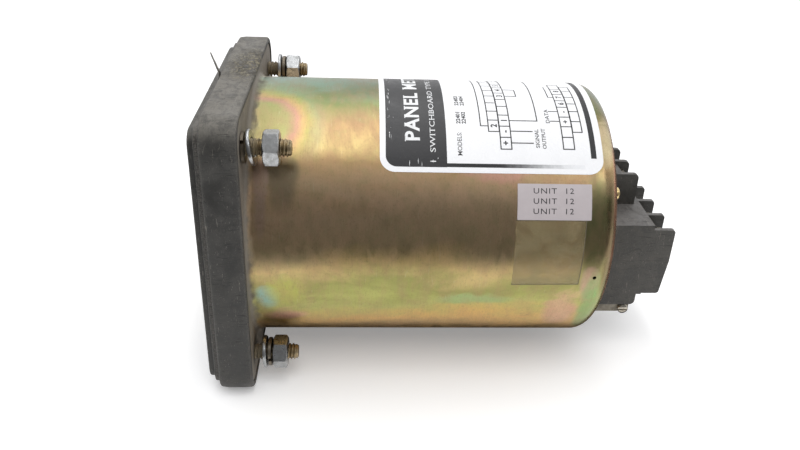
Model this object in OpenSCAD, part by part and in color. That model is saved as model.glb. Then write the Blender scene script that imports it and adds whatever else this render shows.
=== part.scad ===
// Analog dial electric meter for a switchboard panel, built as an assembly of separate pieces.
// Frame: millimetres. The origin is on the barrel's axis in the plane of the bezel's rear rim,
// which is the face that lies on the panel. -Y is the dial side, +Y runs back along the barrel
// to the terminals, +Z is up and +X is the side with the end of the long terminal rows.

/* [Bezel and cover] */
// Width and height of the square bezel
bezel_w = 111; // [110:0.5:113]
// Thickness of the bezel behind its stepped front
bezel_t = 12.5; // [12.5:0.1:13]
// Corner radius of the bezel
bezel_r = 10; // [8:0.5:12]
// Thickness of the cover's rear step
step_rear_t = 2.1; // [2.1:0.1:2.6]
// Thickness of the cover's front step
step_front_t = 2.2; // [2.2:0.1:2.6]
// How far the cover's rear step is set in from the bezel on each side
step_rear_inset = 3; // [2.5:0.1:3.2]
// How far the cover's front step is set in from the bezel on each side
step_front_inset = 4.6; // [4.2:0.1:4.8]

/* [Case] */
// Outside radius of the drawn barrel
can_r = 50.8; // [50.7:0.05:50.9]
// Wall thickness of the barrel
can_t = 1.2; // [1:0.1:1.3]
// Length of the barrel behind the panel face
can_len = 132.8; // [132.5:0.1:134]
// Outside radius of the barrel's rear edge
can_edge_r = 7; // [6:0.5:7]
// Width of the square flange at the front of the barrel
flange_w = 106; // [105:0.5:106]

/* [Mounting studs] */
// Spacing of the four studs across the square
stud_pitch = 85.725; // [85.5:0.025:86]
// Radius of the studs' free threaded ends
stud_r = 3.175; // [3.1:0.025:3.2]
// How far the studs stand out behind the panel face
stud_len = 16.5; // [16:0.5:20]
// Width across the flats of the stud nuts
nut_af = 11.1; // [10:0.1:11.5]
// Thickness of the stud nuts
nut_t = 5.6; // [5:0.1:5.6]

/* [Terminals] */
// Spacing of the terminals along a row
term_pitch = 12.7; // [12.5:0.1:12.8]
// Number of terminals in each long row
long_ways = 4; // [3:1:4]
// Number of terminals in each short row
short_ways = 2; // [1:1:2]
// Thickness of the walls between terminals
barrier_t = 2; // [1.6:0.1:2.2]

/* [Movement] */
// Angle that the pointer sweeps from zero to full scale
sweep_deg = 250; // [240:5:250]
// Distance from the pointer's axis to its tip
pointer_len = 36.5; // [34:0.5:37]
// Offset of the zero adjuster's pin from the adjuster's own axis
adjuster_throw = 1.5; // [1.2:0.1:1.5]

/* [Hidden] */
$fn = 48;
FIT = 0.05;      // running clearance on a radius
GAP = 0.3;       // clearance between loose neighbours
CUT = 1;         // how far a cutting shape runs past the face it cuts

// Axial places, from the cover's front back to the terminals
step_face_y = -bezel_t;
cover_mid_y = -bezel_t - step_rear_t;
cover_face_y = cover_mid_y - step_front_t;
recess_y = -15;          // floor of the window's recess in the cover
window_t = 2;
window_rear_y = recess_y + window_t;
flange_rear_y = -0.4;
flange_front_y = -1.9;
pocket_y = -2.2;         // floor of the flange's pocket in the bezel
collar_y = -3;           // front of the studs' collars
bezel_nut_y = -9;        // seat of the nuts that hold the bezel to the studs
lever_y = -11.3;
lever_t = 0.6;
bridge_y = -10.5;
bridge_t = 1.1;
spring_front_y = -8.9;
pointer_y = -8.2;
pointer_t = 0.5;
dial_y = -6.2;
dial_t = 0.6;
core_t = 9;
base_y = 9;
base_t = 3;
chassis_y = base_y + base_t;
chassis_t = 1.5;
rear_bridge_y = 13.5;
rear_bridge_t = 1.5;
spring_rear_y = 12.2;
main_board_y = 30;
power_board_y = 118;
board_t = 1.6;
inner_rear_y = can_len - can_t;

// Radii and half widths
bore_r = can_r - can_t;
step_rear_r = 6;
step_front_r = 5.5;
lip_r = 45.6;            // front lip inside the bezel
opening_r = 44.5;        // round opening in the cover
opening_chord = 33;      // how far below the axis the opening is cut off flat
pane_r = 47.2;
pane_chord = 35.5;
stud_core_r = 2.9;
stud_tail_r = 2;
adjuster_z = -40;
pin_r = 0.8;
ring_in_r = 5.3;         // the soft iron ring that the coil loops round
ring_out_r = 13.2;
pole_in_r = 16.9;
pole_out_r = 21;
coil_w = 3;              // width of the coil round the ring
coil_t = 1.4;            // thickness of its winding
coil_in_r = 2.2;         // inner and outer sides of the coil
coil_out_r = 15.6;
coil_y0 = -2.3;
coil_y1 = 11.2;
clip_t = 0.6;
staff_r = 0.6;
pivot_r = 0.3;
base_r = 34;
spacer_r = 2.9;
rear_head_r = 2.4;
hub_r = 1.8;
jewel_r = 2;
jewel_bore_r = 2.02;
seal_hole_y = -13.55;
can_fillet_r = 2.5;      // where the flange turns into its neck
neck_y = flange_rear_y + can_fillet_r;
weld_gap = 0.02;         // between the neck and the barrel that is welded to it
pinhole_y = 125.3;
pinhole_deg = 3.75;
label_in_r = can_r + 0.03;
label_out_r = can_r + 0.13;
cover_screw_seat = -14.9;
weight_in_r = 9;
weight_out_r = 16;
weight_t = 1.71;         // balances the coil and pointer about the staff
board_r = 47;
stop_r = 22;             // distance of the pointer's end stops from its axis
stop_deg = 5;            // how far past each end of the scale a stop stands
bridge_screw_x = 24;
lead_x = 10;
transformer_x = -9;
transformer_z = 21;
transformer_y = 104;

// Piece positions
CORNERS = [[1, 1], [-1, 1], [1, -1], [-1, -1]];
nut_y = [6.9, 7.7, 6.9, 7.2];
washer_y = [2.95, 4.9, 3.9, 0.5];
washer_tilt = [10, 0, 3, 0];
lock_y = [-0.35, 5.9, 5, 1.4];
RODS = [[33, 22.5], [-33, 22.5], [27.5, -30.2], [-27.5, -30.2]];
COVER_SCREWS = [[36, 46], [-36, 46], [36, -46], [-36, -46]];
DIAL_POSTS = [[22, -36], [-22, -36], [0, 42]];
BRIDGE_POSTS = [[8, -23.5], [-8, -23.5]];
BASE_SCREWS = [for (a = [45, 135, 225, 315]) [31.5 * cos(a), 31.5 * sin(a)]];

// Terminal rows: the long rows are deep, the short rows are shallow and start further in
block_mid_z = -11.5;     // the two blocks mirror each other about this height
block_top_z = 4.5;
block_low_z = -11.48;
short_top_z = 18;
long_seat_y = 155.3;
long_wall_y = 164;
long_wall_z = 2.5;
lower_wall_z = 4;         // the lower block's walls come nearly flush with its underside
lower_lean = 1.5;         // and lean in towards it
short_seat_y = 147;
short_wall_y = 152.3;
long_end_x = 25;
short_end_x = 6.5;
insert_low_y = 126;      // how far the blocks reach in through the can's rear wall

function long_x(i) = long_end_x - barrier_t / 2 - term_pitch * (i + 0.5);
function short_x(i) = short_end_x - barrier_t / 2 - term_pitch * (i + 0.5);
// Terminals of one block as [x, z, seat height]
LONG_Z = -4.4;
SHORT_Z = 11;
CT_PLACES = [[17, -17], [-13, -19]];
TERMINALS = concat([for (i = [0:long_ways - 1]) [long_x(i), LONG_Z, long_seat_y]],
                   [for (i = [0:short_ways - 1]) [short_x(i), SHORT_Z, short_seat_y]]);
PIN_DZ = -3.9;           // from a terminal's screw to its pin

// ---- Shared shapes -------------------------------------------------------------------------

function arc(cx, cy, r, a0, a1, n = 8) =
    [for (i = [0:n]) [cx + r * cos(a0 + (a1 - a0) * i / n), cy + r * sin(a0 + (a1 - a0) * i / n)]];

// A flat outline drawn in X and Z, run from y0 back to y1
module slab(y0, y1) {
    translate([0, y1, 0]) rotate([90, 0, 0]) linear_extrude(height = y1 - y0) children();
}

// A flat outline drawn in Y and Z, run from x0 to x1
module side_slab(x0, x1) {
    translate([x0, 0, 0]) rotate([90, 0, 90]) linear_extrude(height = x1 - x0) children();
}

// A round bar along Y
module rod(x, z, y0, y1, r) {
    translate([x, y1, z]) rotate([90, 0, 0]) cylinder(h = y1 - y0, r = r);
}

module tube(x, z, y0, y1, r, inner) {
    difference() {
        rod(x, z, y0, y1, r);
        rod(x, z, y0 - CUT, y1 + CUT, inner);
    }
}

// A nut or hexagon along Y with a round bore
module hex_nut(x, z, y0, y1, af, inner, turn = 0) {
    difference() {
        translate([x, y1, z]) rotate([90, 0, 0]) rotate([0, 0, turn])
            cylinder(h = y1 - y0, r = af / 2 / cos(30), $fn = 6);
        rod(x, z, y0 - CUT, y1 + CUT, inner);
    }
}

// A turned shape about the barrel's axis, from a profile of radius and depth
module lathe() {
    rotate([-90, 0, 0]) rotate_extrude($fn = 96) children();
}

// A thin sheet wrapped on the barrel between two angles measured up from +X
module wrap(r0, r1, y0, y1, a0, a1) {
    rotate([-90, 0, 0]) rotate([0, 0, -a1]) rotate_extrude(angle = a1 - a0, $fn = 96)
        translate([r0, y0]) square([r1 - r0, y1 - y0]);
}

module rounded_square(w, r) {
    h = w / 2 - r;
    polygon(concat(arc(h, h, r, 0, 90), arc(-h, h, r, 90, 180), arc(-h, -h, r, 180, 270),
                   arc(h, -h, r, 270, 360)));
}

// The round opening with its flat lower edge
module d_opening(r, chord) {
    difference() {
        circle(r = r, $fn = 96);
        translate([-r, -2 * r - chord]) square([2 * r, 2 * r]);
    }
}

// A part of a ring between two angles measured from +X towards +Z
module ring_sector(r0, r1, a0, a1, n = 16) {
    polygon(concat(arc(0, 0, r1, a0, a1, n), arc(0, 0, r0, a1, a0, n)));
}

// A slotted screw along Y: its head stands in front of y0 and its shank runs back to y1
module pan_screw(x, z, y0, y1, head_r, head_t, shank_r) {
    difference() {
        rod(x, z, y0 - head_t, y0, head_r);
        translate([x - head_r, y0 - head_t - CUT, z - 0.4])
            cube([2 * head_r, CUT + head_t / 2, 0.8]);
    }
    rod(x, z, y0 - 0.01, y1, shank_r);
}

module at_lower_block() {
    translate([0, 0, 2 * block_mid_z]) mirror([0, 0, 1]) children();
}

// ---- Bezel, cover and window ---------------------------------------------------------------

module bezel() {
    color("dimgray") difference() {
        slab(step_face_y, 0) rounded_square(bezel_w, bezel_r);
        slab(pocket_y, CUT) rounded_square(flange_w + 0.8, 8.4);
        slab(step_face_y - CUT, step_face_y + 1.5) circle(r = lip_r);
        slab(step_face_y + 1.5 - 0.01, pocket_y + CUT) circle(r = bore_r);
        for (c = CORNERS) {
            x = c[0] * stud_pitch / 2;
            z = c[1] * stud_pitch / 2;
            rod(x, z, collar_y - 0.1, pocket_y + CUT, 4.9);
            rod(x, z, bezel_nut_y - CUT, collar_y, stud_tail_r + 0.3);
            rod(x, z, step_face_y - CUT, bezel_nut_y, 5);
        }
        for (s = COVER_SCREWS) rod(s[0], s[1], step_face_y - CUT, -5.5, 1.45);
    }
}

module front_cover() {
    color("dimgray") difference() {
        union() {
            slab(cover_mid_y, step_face_y) rounded_square(bezel_w - 2 * step_rear_inset, step_rear_r);
            slab(cover_face_y, cover_mid_y)
                rounded_square(bezel_w - 2 * step_front_inset, step_front_r);
        }
        slab(cover_face_y - CUT, step_face_y + CUT) d_opening(opening_r, opening_chord);
        slab(recess_y, step_face_y + CUT) d_opening(pane_r + GAP, pane_chord + GAP);
        for (s = COVER_SCREWS) {
            rod(s[0], s[1], cover_face_y - CUT, step_face_y + CUT, 1.7);
            rod(s[0], s[1], cover_face_y - CUT, cover_screw_seat, 3.1);
        }
        rod(0, adjuster_z, cover_face_y - CUT, step_face_y + CUT, 2.55);
        rod(0, adjuster_z, cover_face_y - CUT, -15.6, 4.6);
        translate([0, seal_hole_y, 49]) cylinder(h = 10, r = 0.75);
    }
}

module window() {
    color("aliceblue", 0.4) slab(recess_y, window_rear_y) d_opening(pane_r, pane_chord);
}

module window_gasket() {
    color("black") slab(window_rear_y, step_face_y) difference() {
        d_opening(pane_r, pane_chord);
        d_opening(pane_r - 2.2, pane_chord - 2);
    }
}

module cover_screws() {
    color("gray") for (s = COVER_SCREWS)
        pan_screw(s[0], s[1], cover_screw_seat, -6.5, 2.8, 1.7, 1.4);
}

// The cut end of the sealing wire stands up from its hole and leans forward
module seal_wire() {
    color("slategray") {
        translate([0, seal_hole_y, 49.2]) cylinder(h = 6, r = 0.6);
        translate([0, seal_hole_y, 55.1]) rotate([21, 0, 0]) cylinder(h = 7.7, r1 = 0.6, r2 = 0.3);
    }
}

// ---- Zero adjustment -----------------------------------------------------------------------

module zero_adjuster() {
    color("black") {
        difference() {
            rod(0, adjuster_z, cover_face_y + 0.2, -15.7, 4.2);
            translate([-CUT - 4.2, cover_face_y - CUT, adjuster_z - 0.6])
                cube([2 * (4.2 + CUT), CUT + 0.8, 1.2]);
        }
        rod(0, adjuster_z, -15.75, -11.4, 2.5);
        rod(0, adjuster_z + adjuster_throw, -11.45, -10.1, pin_r);
    }
}

// Snap ring round the adjuster's shaft behind the cover
module adjuster_ring() {
    color("silver") translate([0, 0, adjuster_z]) slab(-12.4, -11.8) difference() {
        circle(r = 4.2);
        circle(r = 2.55);
        translate([-1, 0]) square([2, 6]);
    }
}

module zero_lever() {
    fork_z = adjuster_z + adjuster_throw;
    slot_w = 2 * pin_r + 0.6;
    color("goldenrod") difference() {
        union() {
            slab(lever_y, lever_y + lever_t) union() {
                circle(r = 4.4);
                translate([-1.5, fork_z + 4]) square([3, -fork_z - 4]);
                translate([-3, fork_z - 3]) square([6, 9]);
                translate([-1.2, 3]) square([2.4, 5.5]);
            }
            slab(lever_y + lever_t - 0.01, spring_front_y + 0.4) translate([-1.2, 7.3])
                square([2.4, 1.2]);
        }
        rod(0, 0, lever_y - CUT, lever_y + lever_t + CUT, jewel_r + FIT);
        slab(lever_y - CUT, lever_y + lever_t + CUT) translate([-slot_w / 2, fork_z - 6])
            square([slot_w, 8.5]);
    }
}

// ---- Case and mounting hardware ------------------------------------------------------------

function can_profile() = concat(
    [[bore_r, neck_y + weld_gap], [can_r, neck_y + weld_gap]],
    arc(can_r - can_edge_r, can_len - can_edge_r, can_edge_r, 0, 90),
    [[0, can_len], [0, inner_rear_y]],
    arc(can_r - can_edge_r, can_len - can_edge_r, can_edge_r - can_t, 90, 0));

// Outline of one terminal block where it passes through the can's rear wall
module insert_outline(grow) {
    translate([-24.5 - grow, -9.5 - grow]) square([46.7 + 2 * grow, 12 + 2 * grow]);
    translate([-16.9 - grow, 0]) square([21.4 + 2 * grow, 16 + grow]);
}

module case_can() {
    color("darkkhaki") difference() {
        lathe() polygon(can_profile());
        slab(inner_rear_y - CUT, can_len + CUT) insert_outline(GAP);
        at_lower_block() slab(inner_rear_y - CUT, can_len + CUT) insert_outline(GAP);
        for (r = RODS) rod(r[0], r[1], inner_rear_y - CUT, can_len + CUT, 1.7);
        rotate([0, pinhole_deg, 0]) translate([bore_r - CUT, pinhole_y, 0])
            rotate([0, 90, 0]) cylinder(h = 4, r = 0.7);
    }
}

// A square plate whose neck turns back along the barrel, which it is welded to
module mounting_flange() {
    foot_r = can_r + can_fillet_r;
    color("darkkhaki") difference() {
        union() {
            slab(flange_front_y, flange_rear_y) difference() {
                rounded_square(flange_w, 8);
                circle(r = foot_r - CUT, $fn = 96);
            }
            lathe() polygon(concat(
                [[bore_r, neck_y], [bore_r, flange_front_y], [foot_r, flange_front_y]],
                arc(foot_r, neck_y, can_fillet_r, 270, 180, 6)));
        }
        for (c = CORNERS)
            rod(c[0] * stud_pitch / 2, c[1] * stud_pitch / 2, flange_front_y - CUT,
                flange_rear_y + CUT, stud_core_r + FIT);
    }
}

module mounting_studs() {
    color("goldenrod") for (c = CORNERS) {
        x = c[0] * stud_pitch / 2;
        z = c[1] * stud_pitch / 2;
        rod(x, z, step_face_y + 0.4, collar_y, stud_tail_r);
        rod(x, z, collar_y, flange_front_y, 4.6);
        rod(x, z, flange_front_y - 0.01, 13.61, stud_core_r);
        rod(x, z, 13.6, stud_len - 0.5, stud_r);
        rod(x, z, stud_len - 0.51, stud_len, stud_r - 0.5);
    }
}

// Four nuts hold the bezel to the studs' tails and four hold the chassis to the tie rods
module small_nuts() {
    color("silver") {
        for (c = CORNERS)
            hex_nut(c[0] * stud_pitch / 2, c[1] * stud_pitch / 2, bezel_nut_y - 3, bezel_nut_y,
                    7, stud_tail_r + FIT);
        for (r = RODS) hex_nut(r[0], r[1], chassis_y - 3, chassis_y, 7, stud_tail_r + FIT);
    }
}

module flat_washers() {
    color("silver") for (i = [0:3])
        translate([CORNERS[i][0] * stud_pitch / 2, washer_y[i], CORNERS[i][1] * stud_pitch / 2])
            rotate([washer_tilt[i], 0, 0]) tube(0, 0, -0.6, 0.6, 6.3, 3.5);
}

module lock_washers() {
    color("gray") for (i = [0:3])
        translate([CORNERS[i][0] * stud_pitch / 2, 0, CORNERS[i][1] * stud_pitch / 2])
            slab(lock_y[i], lock_y[i] + 1.5) difference() {
                circle(r = 5.5);
                circle(r = 3.3);
                rotate(35 + 80 * i) translate([2, -0.5]) square([6, 1]);
            }
}

module stud_nuts() {
    color("gainsboro") for (i = [0:3])
        hex_nut(CORNERS[i][0] * stud_pitch / 2, CORNERS[i][1] * stud_pitch / 2, nut_y[i],
                nut_y[i] + nut_t, nut_af, stud_core_r + FIT, [8, 22, 0, 15][i]);
}

// ---- Labels --------------------------------------------------------------------------------

module wiring_label() {
    color("white") wrap(label_in_r, label_out_r, 46.3, 126.4, 40, 140);
}

module id_sticker() {
    color("white") wrap(label_in_r, label_out_r, 95, 121.7, 21.5, 36);
}

module clear_tail() {
    color("khaki", 0.4) wrap(label_in_r, label_out_r, 94.6, 120, -7.3, 21.3);
}

// ---- Terminal blocks -----------------------------------------------------------------------

// Side view of a wall between terminals, with its outer corner rounded
module wall_profile(y0, y1, z0, z1, r, lean = 0) {
    polygon(concat([[y0, z0], [y1, z0]], arc(y1 - lean - r, z1 - r, r, 0, 90, 5), [[y0, z1]]));
}

module terminal_block(wall_z = long_wall_z, lean = 0) {
    long_far_x = long_end_x - barrier_t - term_pitch * long_ways;
    short_far_x = short_end_x - barrier_t - term_pitch * short_ways;
    difference() {
        union() {
            translate([long_far_x, can_len, block_low_z])
                cube([long_end_x - long_far_x, long_seat_y - can_len, block_top_z - block_low_z]);
            translate([short_far_x, can_len, block_top_z - CUT])
                cube([short_end_x - short_far_x, short_seat_y - can_len,
                      short_top_z - block_top_z + CUT - 1.5]);
            slab(insert_low_y, can_len + CUT) insert_outline(0);
            for (i = [0:long_ways]) {
                x = long_end_x - term_pitch * i;
                side_slab(x - barrier_t, x)
                    wall_profile(long_seat_y - CUT, long_wall_y, block_low_z, wall_z, 1.2, lean);
            }
            for (i = [0:short_ways]) {
                x = short_end_x - term_pitch * i;
                side_slab(x - barrier_t, x)
                    wall_profile(can_len, short_wall_y, block_top_z - CUT, short_top_z, 1.8);
            }
            translate([long_far_x, long_seat_y - CUT, block_low_z])
                cube([long_end_x - long_far_x, long_wall_y - long_seat_y + CUT - 0.6, 1.6]);
        }
        for (t = TERMINALS) {
            rod(t[0], t[1], t[2] - 9, t[2] + CUT, 2.1);
            rod(t[0], t[1] + PIN_DZ, insert_low_y - CUT, t[2] + CUT, 0.85);
        }
    }
}

module terminal_block_upper() {
    color("dimgray") terminal_block();
}

// The lower block mirrors the upper one and has a ribbed foot at its near end
module terminal_block_lower() {
    color("dimgray") {
        at_lower_block() terminal_block(lower_wall_z, lower_lean);
        side_slab(8, 24.5)
            polygon(concat([[can_len, -27.4], [can_len, -33]],
                           arc(151.5, -31, 2, 270, 360, 5), [[153.5, -27.4]]));
    }
}

module one_set_of_contacts() {
    for (t = TERMINALS) {
        difference() {
            translate([t[0] - 4.4, t[2], t[1] - 4.8]) cube([8.8, 0.7, 9.2]);
            rod(t[0], t[1], t[2] - CUT, t[2] + 2, 2.1);
        }
        rod(t[0], t[1] + PIN_DZ, power_board_y + 0.2, t[2] + 0.01, 0.8);
    }
}

module terminal_contacts() {
    color("peru") {
        one_set_of_contacts();
        at_lower_block() one_set_of_contacts();
    }
}

module one_set_of_plates() {
    for (t = TERMINALS) difference() {
        translate([t[0] - 4.2, t[2] + 0.9, t[1] - 4.2]) cube([8.4, 1.2, 8.4]);
        rod(t[0], t[1], t[2], t[2] + 4, 2.1);
    }
}

module clamp_plates() {
    color("silver") {
        one_set_of_plates();
        at_lower_block() one_set_of_plates();
    }
}

// Domed slotted heads: the long rows are slack by a turn, the short rows are done up
module one_set_of_screws() {
    for (t = TERMINALS) {
        under = t[2] + (t[2] == long_seat_y ? 4 : 2.2);
        dome = t[2] == long_seat_y ? 3.2 : 2.6;
        difference() {
            translate([t[0], under, t[1]]) rotate([-90, 0, 0]) rotate_extrude()
                polygon(concat([[0, 0], [3.9, 0]], arc(0, dome * 0.4, 3.9, 0, 90, 6)));
            translate([t[0] - 5, under + dome * 0.6, t[1] - 0.5]) cube([10, 6, 1]);
        }
        rod(t[0], t[1], t[2] - 8, under + 0.01, 2);
    }
}

module terminal_screws() {
    color("silver") {
        one_set_of_screws();
        at_lower_block() one_set_of_screws();
    }
}

module earth_tab() {
    tab_x = 21;
    color("silver") difference() {
        union() {
            slab(can_len, can_len + 1.1) intersection() {
                circle(r = can_r - can_edge_r - 0.3, $fn = 96);
                union() {
                    translate([tab_x, -38.5]) square([11, 4.9]);
                    translate([25, -38.5]) square([7, 12]);
                }
            }
            translate([tab_x, can_len, -38]) cube([1.1, 19.5, 4.4]);
        }
        rod(RODS[2][0], RODS[2][1], can_len - CUT, can_len + 3, 1.7);
        translate([tab_x - CUT, 149.8, -36.1]) rotate([0, 90, 0]) cylinder(h = 4, r = 1.35);
    }
}

module earth_screw() {
    color("lightgray") translate([16, 149.8, -36.1]) rotate([0, 90, 0]) difference() {
        union() {
            cylinder(h = 6.1, r = 1.3);
            translate([0, 0, 6.1]) cylinder(h = 1.9, r = 2.2);
        }
        translate([-3, -0.35, 7.2]) cube([6, 0.7, 2]);
    }
}

// ---- Frame inside the can ------------------------------------------------------------------

module rear_screws() {
    color("gold") for (r = RODS) {
        seat = can_len + (r == RODS[2] ? 1.1 : 0);
        difference() {
            translate([r[0], seat, r[1]]) rotate([-90, 0, 0]) rotate_extrude()
                polygon(concat([[0, 0], [rear_head_r, 0]], arc(0, 0.6, rear_head_r, 0, 90, 6)));
            translate([r[0] - 3, seat + 1.9, r[1] - 0.4]) cube([6, 3, 0.8]);
        }
        rod(r[0], r[1], 125, seat + 0.01, 1.4);
    }
}

module tie_rods() {
    color("silver") for (r = RODS) difference() {
        rod(r[0], r[1], chassis_y - 4, inner_rear_y, 2);
        rod(r[0], r[1], 124, inner_rear_y + CUT, 1.45);
    }
}

module spacer_tubes() {
    color("lightgray") for (r = RODS) {
        tube(r[0], r[1], chassis_y + chassis_t, main_board_y, spacer_r, 2 + FIT);
        tube(r[0], r[1], main_board_y + board_t, power_board_y, spacer_r, 2 + FIT);
        tube(r[0], r[1], power_board_y + board_t, inner_rear_y, spacer_r, 2 + FIT);
    }
}

module board_holes() {
    for (r = RODS) translate([r[0], r[1]]) circle(r = 2.1);
}

module chassis_plate() {
    color("lightsteelblue") slab(chassis_y, chassis_y + chassis_t) difference() {
        circle(r = 48.8, $fn = 96);
        circle(r = 29, $fn = 96);
        board_holes();
        for (s = BASE_SCREWS) translate(s) circle(r = 1.3);
        for (p = DIAL_POSTS) translate(p) circle(r = 1.5);
    }
}

module power_board() {
    color("darkgreen") slab(power_board_y, power_board_y + board_t) difference() {
        circle(r = board_r + 0.5, $fn = 96);
        board_holes();
        for (t = TERMINALS) {
            translate([t[0], t[1] + PIN_DZ]) circle(r = 0.85);
            translate([t[0], 2 * block_mid_z - t[1] - PIN_DZ]) circle(r = 0.85);
        }
    }
}

module main_board() {
    color("darkgreen") slab(main_board_y, main_board_y + board_t) difference() {
        circle(r = board_r, $fn = 96);
        board_holes();
        for (x = [-lead_x, lead_x]) translate([x, 0]) circle(r = 0.65);
    }
}

// ---- Measuring electronics -----------------------------------------------------------------

module transformer_core() {
    color("slategray") slab(transformer_y - 8, transformer_y + 8)
        translate([transformer_x, transformer_z]) difference() {
            square([34, 26], center = true);
            for (x = [-8.5, 8.5]) translate([x, 0]) square([7, 16], center = true);
        }
}

module transformer_winding() {
    color("darkorange") translate([transformer_x, transformer_y, transformer_z]) {
        difference() {
            cube([22, 22, 15], center = true);
            cube([10.6, 16.6, 16], center = true);
        }
        translate([-11, 11, -6]) cube([22, power_board_y - transformer_y - 11, 12]);
    }
}

module current_transformers() {
    color("midnightblue") for (p = CT_PLACES) tube(p[0], p[1], 104, power_board_y, 11.5, 5.5);
}

// Heavy copper hoops that carry the measured current once through each ring
module primary_links() {
    color("peru") for (p = CT_PLACES)
        side_slab(p[0] - 2, p[0] + 2) polygon([
            [power_board_y, p[1] - 0.8], [power_board_y, p[1] + 0.8], [101.6, p[1] + 0.8],
            [101.6, p[1] + 12.9], [power_board_y, p[1] + 12.9], [power_board_y, p[1] + 14.5],
            [100, p[1] + 14.5], [100, p[1] - 0.8]]);
}

module capacitors() {
    color("midnightblue") for (p = [[31, 4], [19, 14], [20, 28]])
        rod(p[0], p[1], 99, power_board_y, 5);
}

module logic_chips() {
    y = main_board_y + board_t;
    color("black") {
        translate([-10, y, 6]) cube([20, 2.4, 20]);
        for (x = [-30, -16, 10, 24]) translate([x, y, -20]) cube([7, 3.2, 17]);
    }
}

module board_connectors() {
    color("ivory") {
        translate([-13, main_board_y + board_t, -38]) cube([26, 8.4, 6]);
        translate([-13, power_board_y - 8, -38]) cube([26, 8, 6]);
    }
}

module ribbon_cable() {
    y0 = main_board_y + board_t + 8.4;
    color("lightgray") translate([-10.5, y0, -35.5]) cube([21, power_board_y - 8 - y0, 0.9]);
}

module movement_leads() {
    color("crimson") for (x = [-lead_x, lead_x])
        rod(x, 0, rear_bridge_y + rear_bridge_t, main_board_y + board_t + 1, 0.6);
}

// ---- Moving-coil movement ------------------------------------------------------------------

module movement_base() {
    color("silver") slab(base_y, base_y + base_t) difference() {
        circle(r = base_r, $fn = 96);
        circle(r = 17.2, $fn = 96);
        for (s = BASE_SCREWS) translate(s) circle(r = 1.3);
        for (p = BRIDGE_POSTS) translate(p) circle(r = 1.3);
        for (x = [-bridge_screw_x, bridge_screw_x]) translate([x, 0]) circle(r = 1.2);
    }
}

module movement_screws() {
    color("silver") {
        for (x = [-bridge_screw_x, bridge_screw_x]) translate([x, 0, 0]) mirror([0, 1, 0])
            pan_screw(0, 0, -rear_bridge_y - rear_bridge_t, -base_y - 0.5, 2.4, 1.3, 1.15);
        for (s = BASE_SCREWS)
            pan_screw(s[0], s[1], base_y, chassis_y + chassis_t + 1, 2.4, 1.5, 1.25);
        for (p = DIAL_POSTS) pan_screw(p[0], p[1], dial_y, dial_y + 5, 2.4, 1.3, 1.25);
    }
}

module pole_ring() {
    color("dimgray") slab(0, core_t) difference() {
        circle(r = pole_out_r, $fn = 96);
        circle(r = pole_in_r, $fn = 96);
    }
}

// Soft iron ring inside the coil, slit at the bottom so that the coil can be threaded on
module core_ring() {
    color("gray") slab(0, core_t) difference() {
        circle(r = ring_out_r, $fn = 96);
        circle(r = ring_in_r, $fn = 96);
        translate([-1, -ring_out_r - CUT]) square([2, ring_out_r]);
    }
}

// The magnet joins the two rings below, outside the coil's travel
module magnet() {
    color("darkslategray") slab(0.5, core_t - 0.5)
        ring_sector(ring_out_r + 0.02, pole_in_r - 0.02, 242, 298);
}

module rear_bridge() {
    color("silver") difference() {
        union() {
            slab(rear_bridge_y, rear_bridge_y + rear_bridge_t) translate([-27, -4])
                square([54, 8]);
            for (x = [-27, 21]) translate([x, chassis_y, -4])
                cube([6, rear_bridge_y - chassis_y + 0.01, 8]);
        }
        rod(0, 0, rear_bridge_y - CUT, rear_bridge_y + 3, jewel_bore_r);
        for (x = [-bridge_screw_x, bridge_screw_x])
            rod(x, 0, chassis_y - CUT, rear_bridge_y + 3, 1.2);
    }
}

// Each screw carries the jewel cup in which one of the staff's points turns
module jewel_screws() {
    color("goldenrod") {
        difference() {
            rod(0, 0, -12.7, -9, jewel_r);
            translate([-3, -13.7, -0.3]) cube([6, 1.6, 0.6]);
            rod(0, 0, -9.4, -8, pivot_r + FIT);
        }
        difference() {
            rod(0, 0, 13.1, 17.2, jewel_r);
            translate([-3, 16.6, -0.3]) cube([6, 1.6, 0.6]);
            rod(0, 0, 12, 13.5, pivot_r + FIT);
        }
    }
}

module jewel_lock_nuts() {
    color("gold") {
        hex_nut(0, 0, -12.5, -11.6, 7, jewel_bore_r);
        translate([0, rear_bridge_y + rear_bridge_t, 0]) hex_nut(0, 0, 0, 1, 7, jewel_bore_r);
    }
}

// A flat spiral strip from the collet out to its anchor
module hairspring(y0, turns, r0, r1) {
    n = 16 * turns;
    strip = 0.09;
    function at(i, side) = let (a = 90 + 360 * i / 16, r = r0 + (r1 - r0) * i / n + side * strip)
        [r * cos(a), r * sin(a)];
    slab(y0, y0 + 0.4)
        polygon(concat([for (i = [0:n]) at(i, 1)], [for (i = [n:-1:0]) at(i, -1)]));
}

module front_hairspring() {
    color("orange") hairspring(spring_front_y, 4, hub_r + 0.5, 7.2);
}

module rear_hairspring() {
    color("orange") {
        hairspring(spring_rear_y, 4, 2, 7.2);
        rod(0, 7.4, spring_rear_y, rear_bridge_y + 0.01, 0.35);
    }
}

module bridge_posts() {
    color("gold") for (p = BRIDGE_POSTS) {
        rod(p[0], p[1], bridge_y + bridge_t, base_y, 2.2);
        rod(p[0], p[1], base_y - 0.01, base_y + base_t, 1.25);
        rod(p[0], p[1], bridge_y - 1, bridge_y + bridge_t + 0.01, 1.25);
    }
}

module front_bridge() {
    color("goldenrod") slab(bridge_y, bridge_y + bridge_t) difference() {
        union() {
            circle(r = 5);
            translate([-3, -24]) square([6, 24]);
            translate([-11.5, -27]) square([23, 7]);
        }
        circle(r = jewel_bore_r);
        for (p = BRIDGE_POSTS) translate(p) circle(r = 1.3);
    }
}

// ---- Pieces that turn with the pointer, drawn pointing up and set at the zero mark ---------

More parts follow.
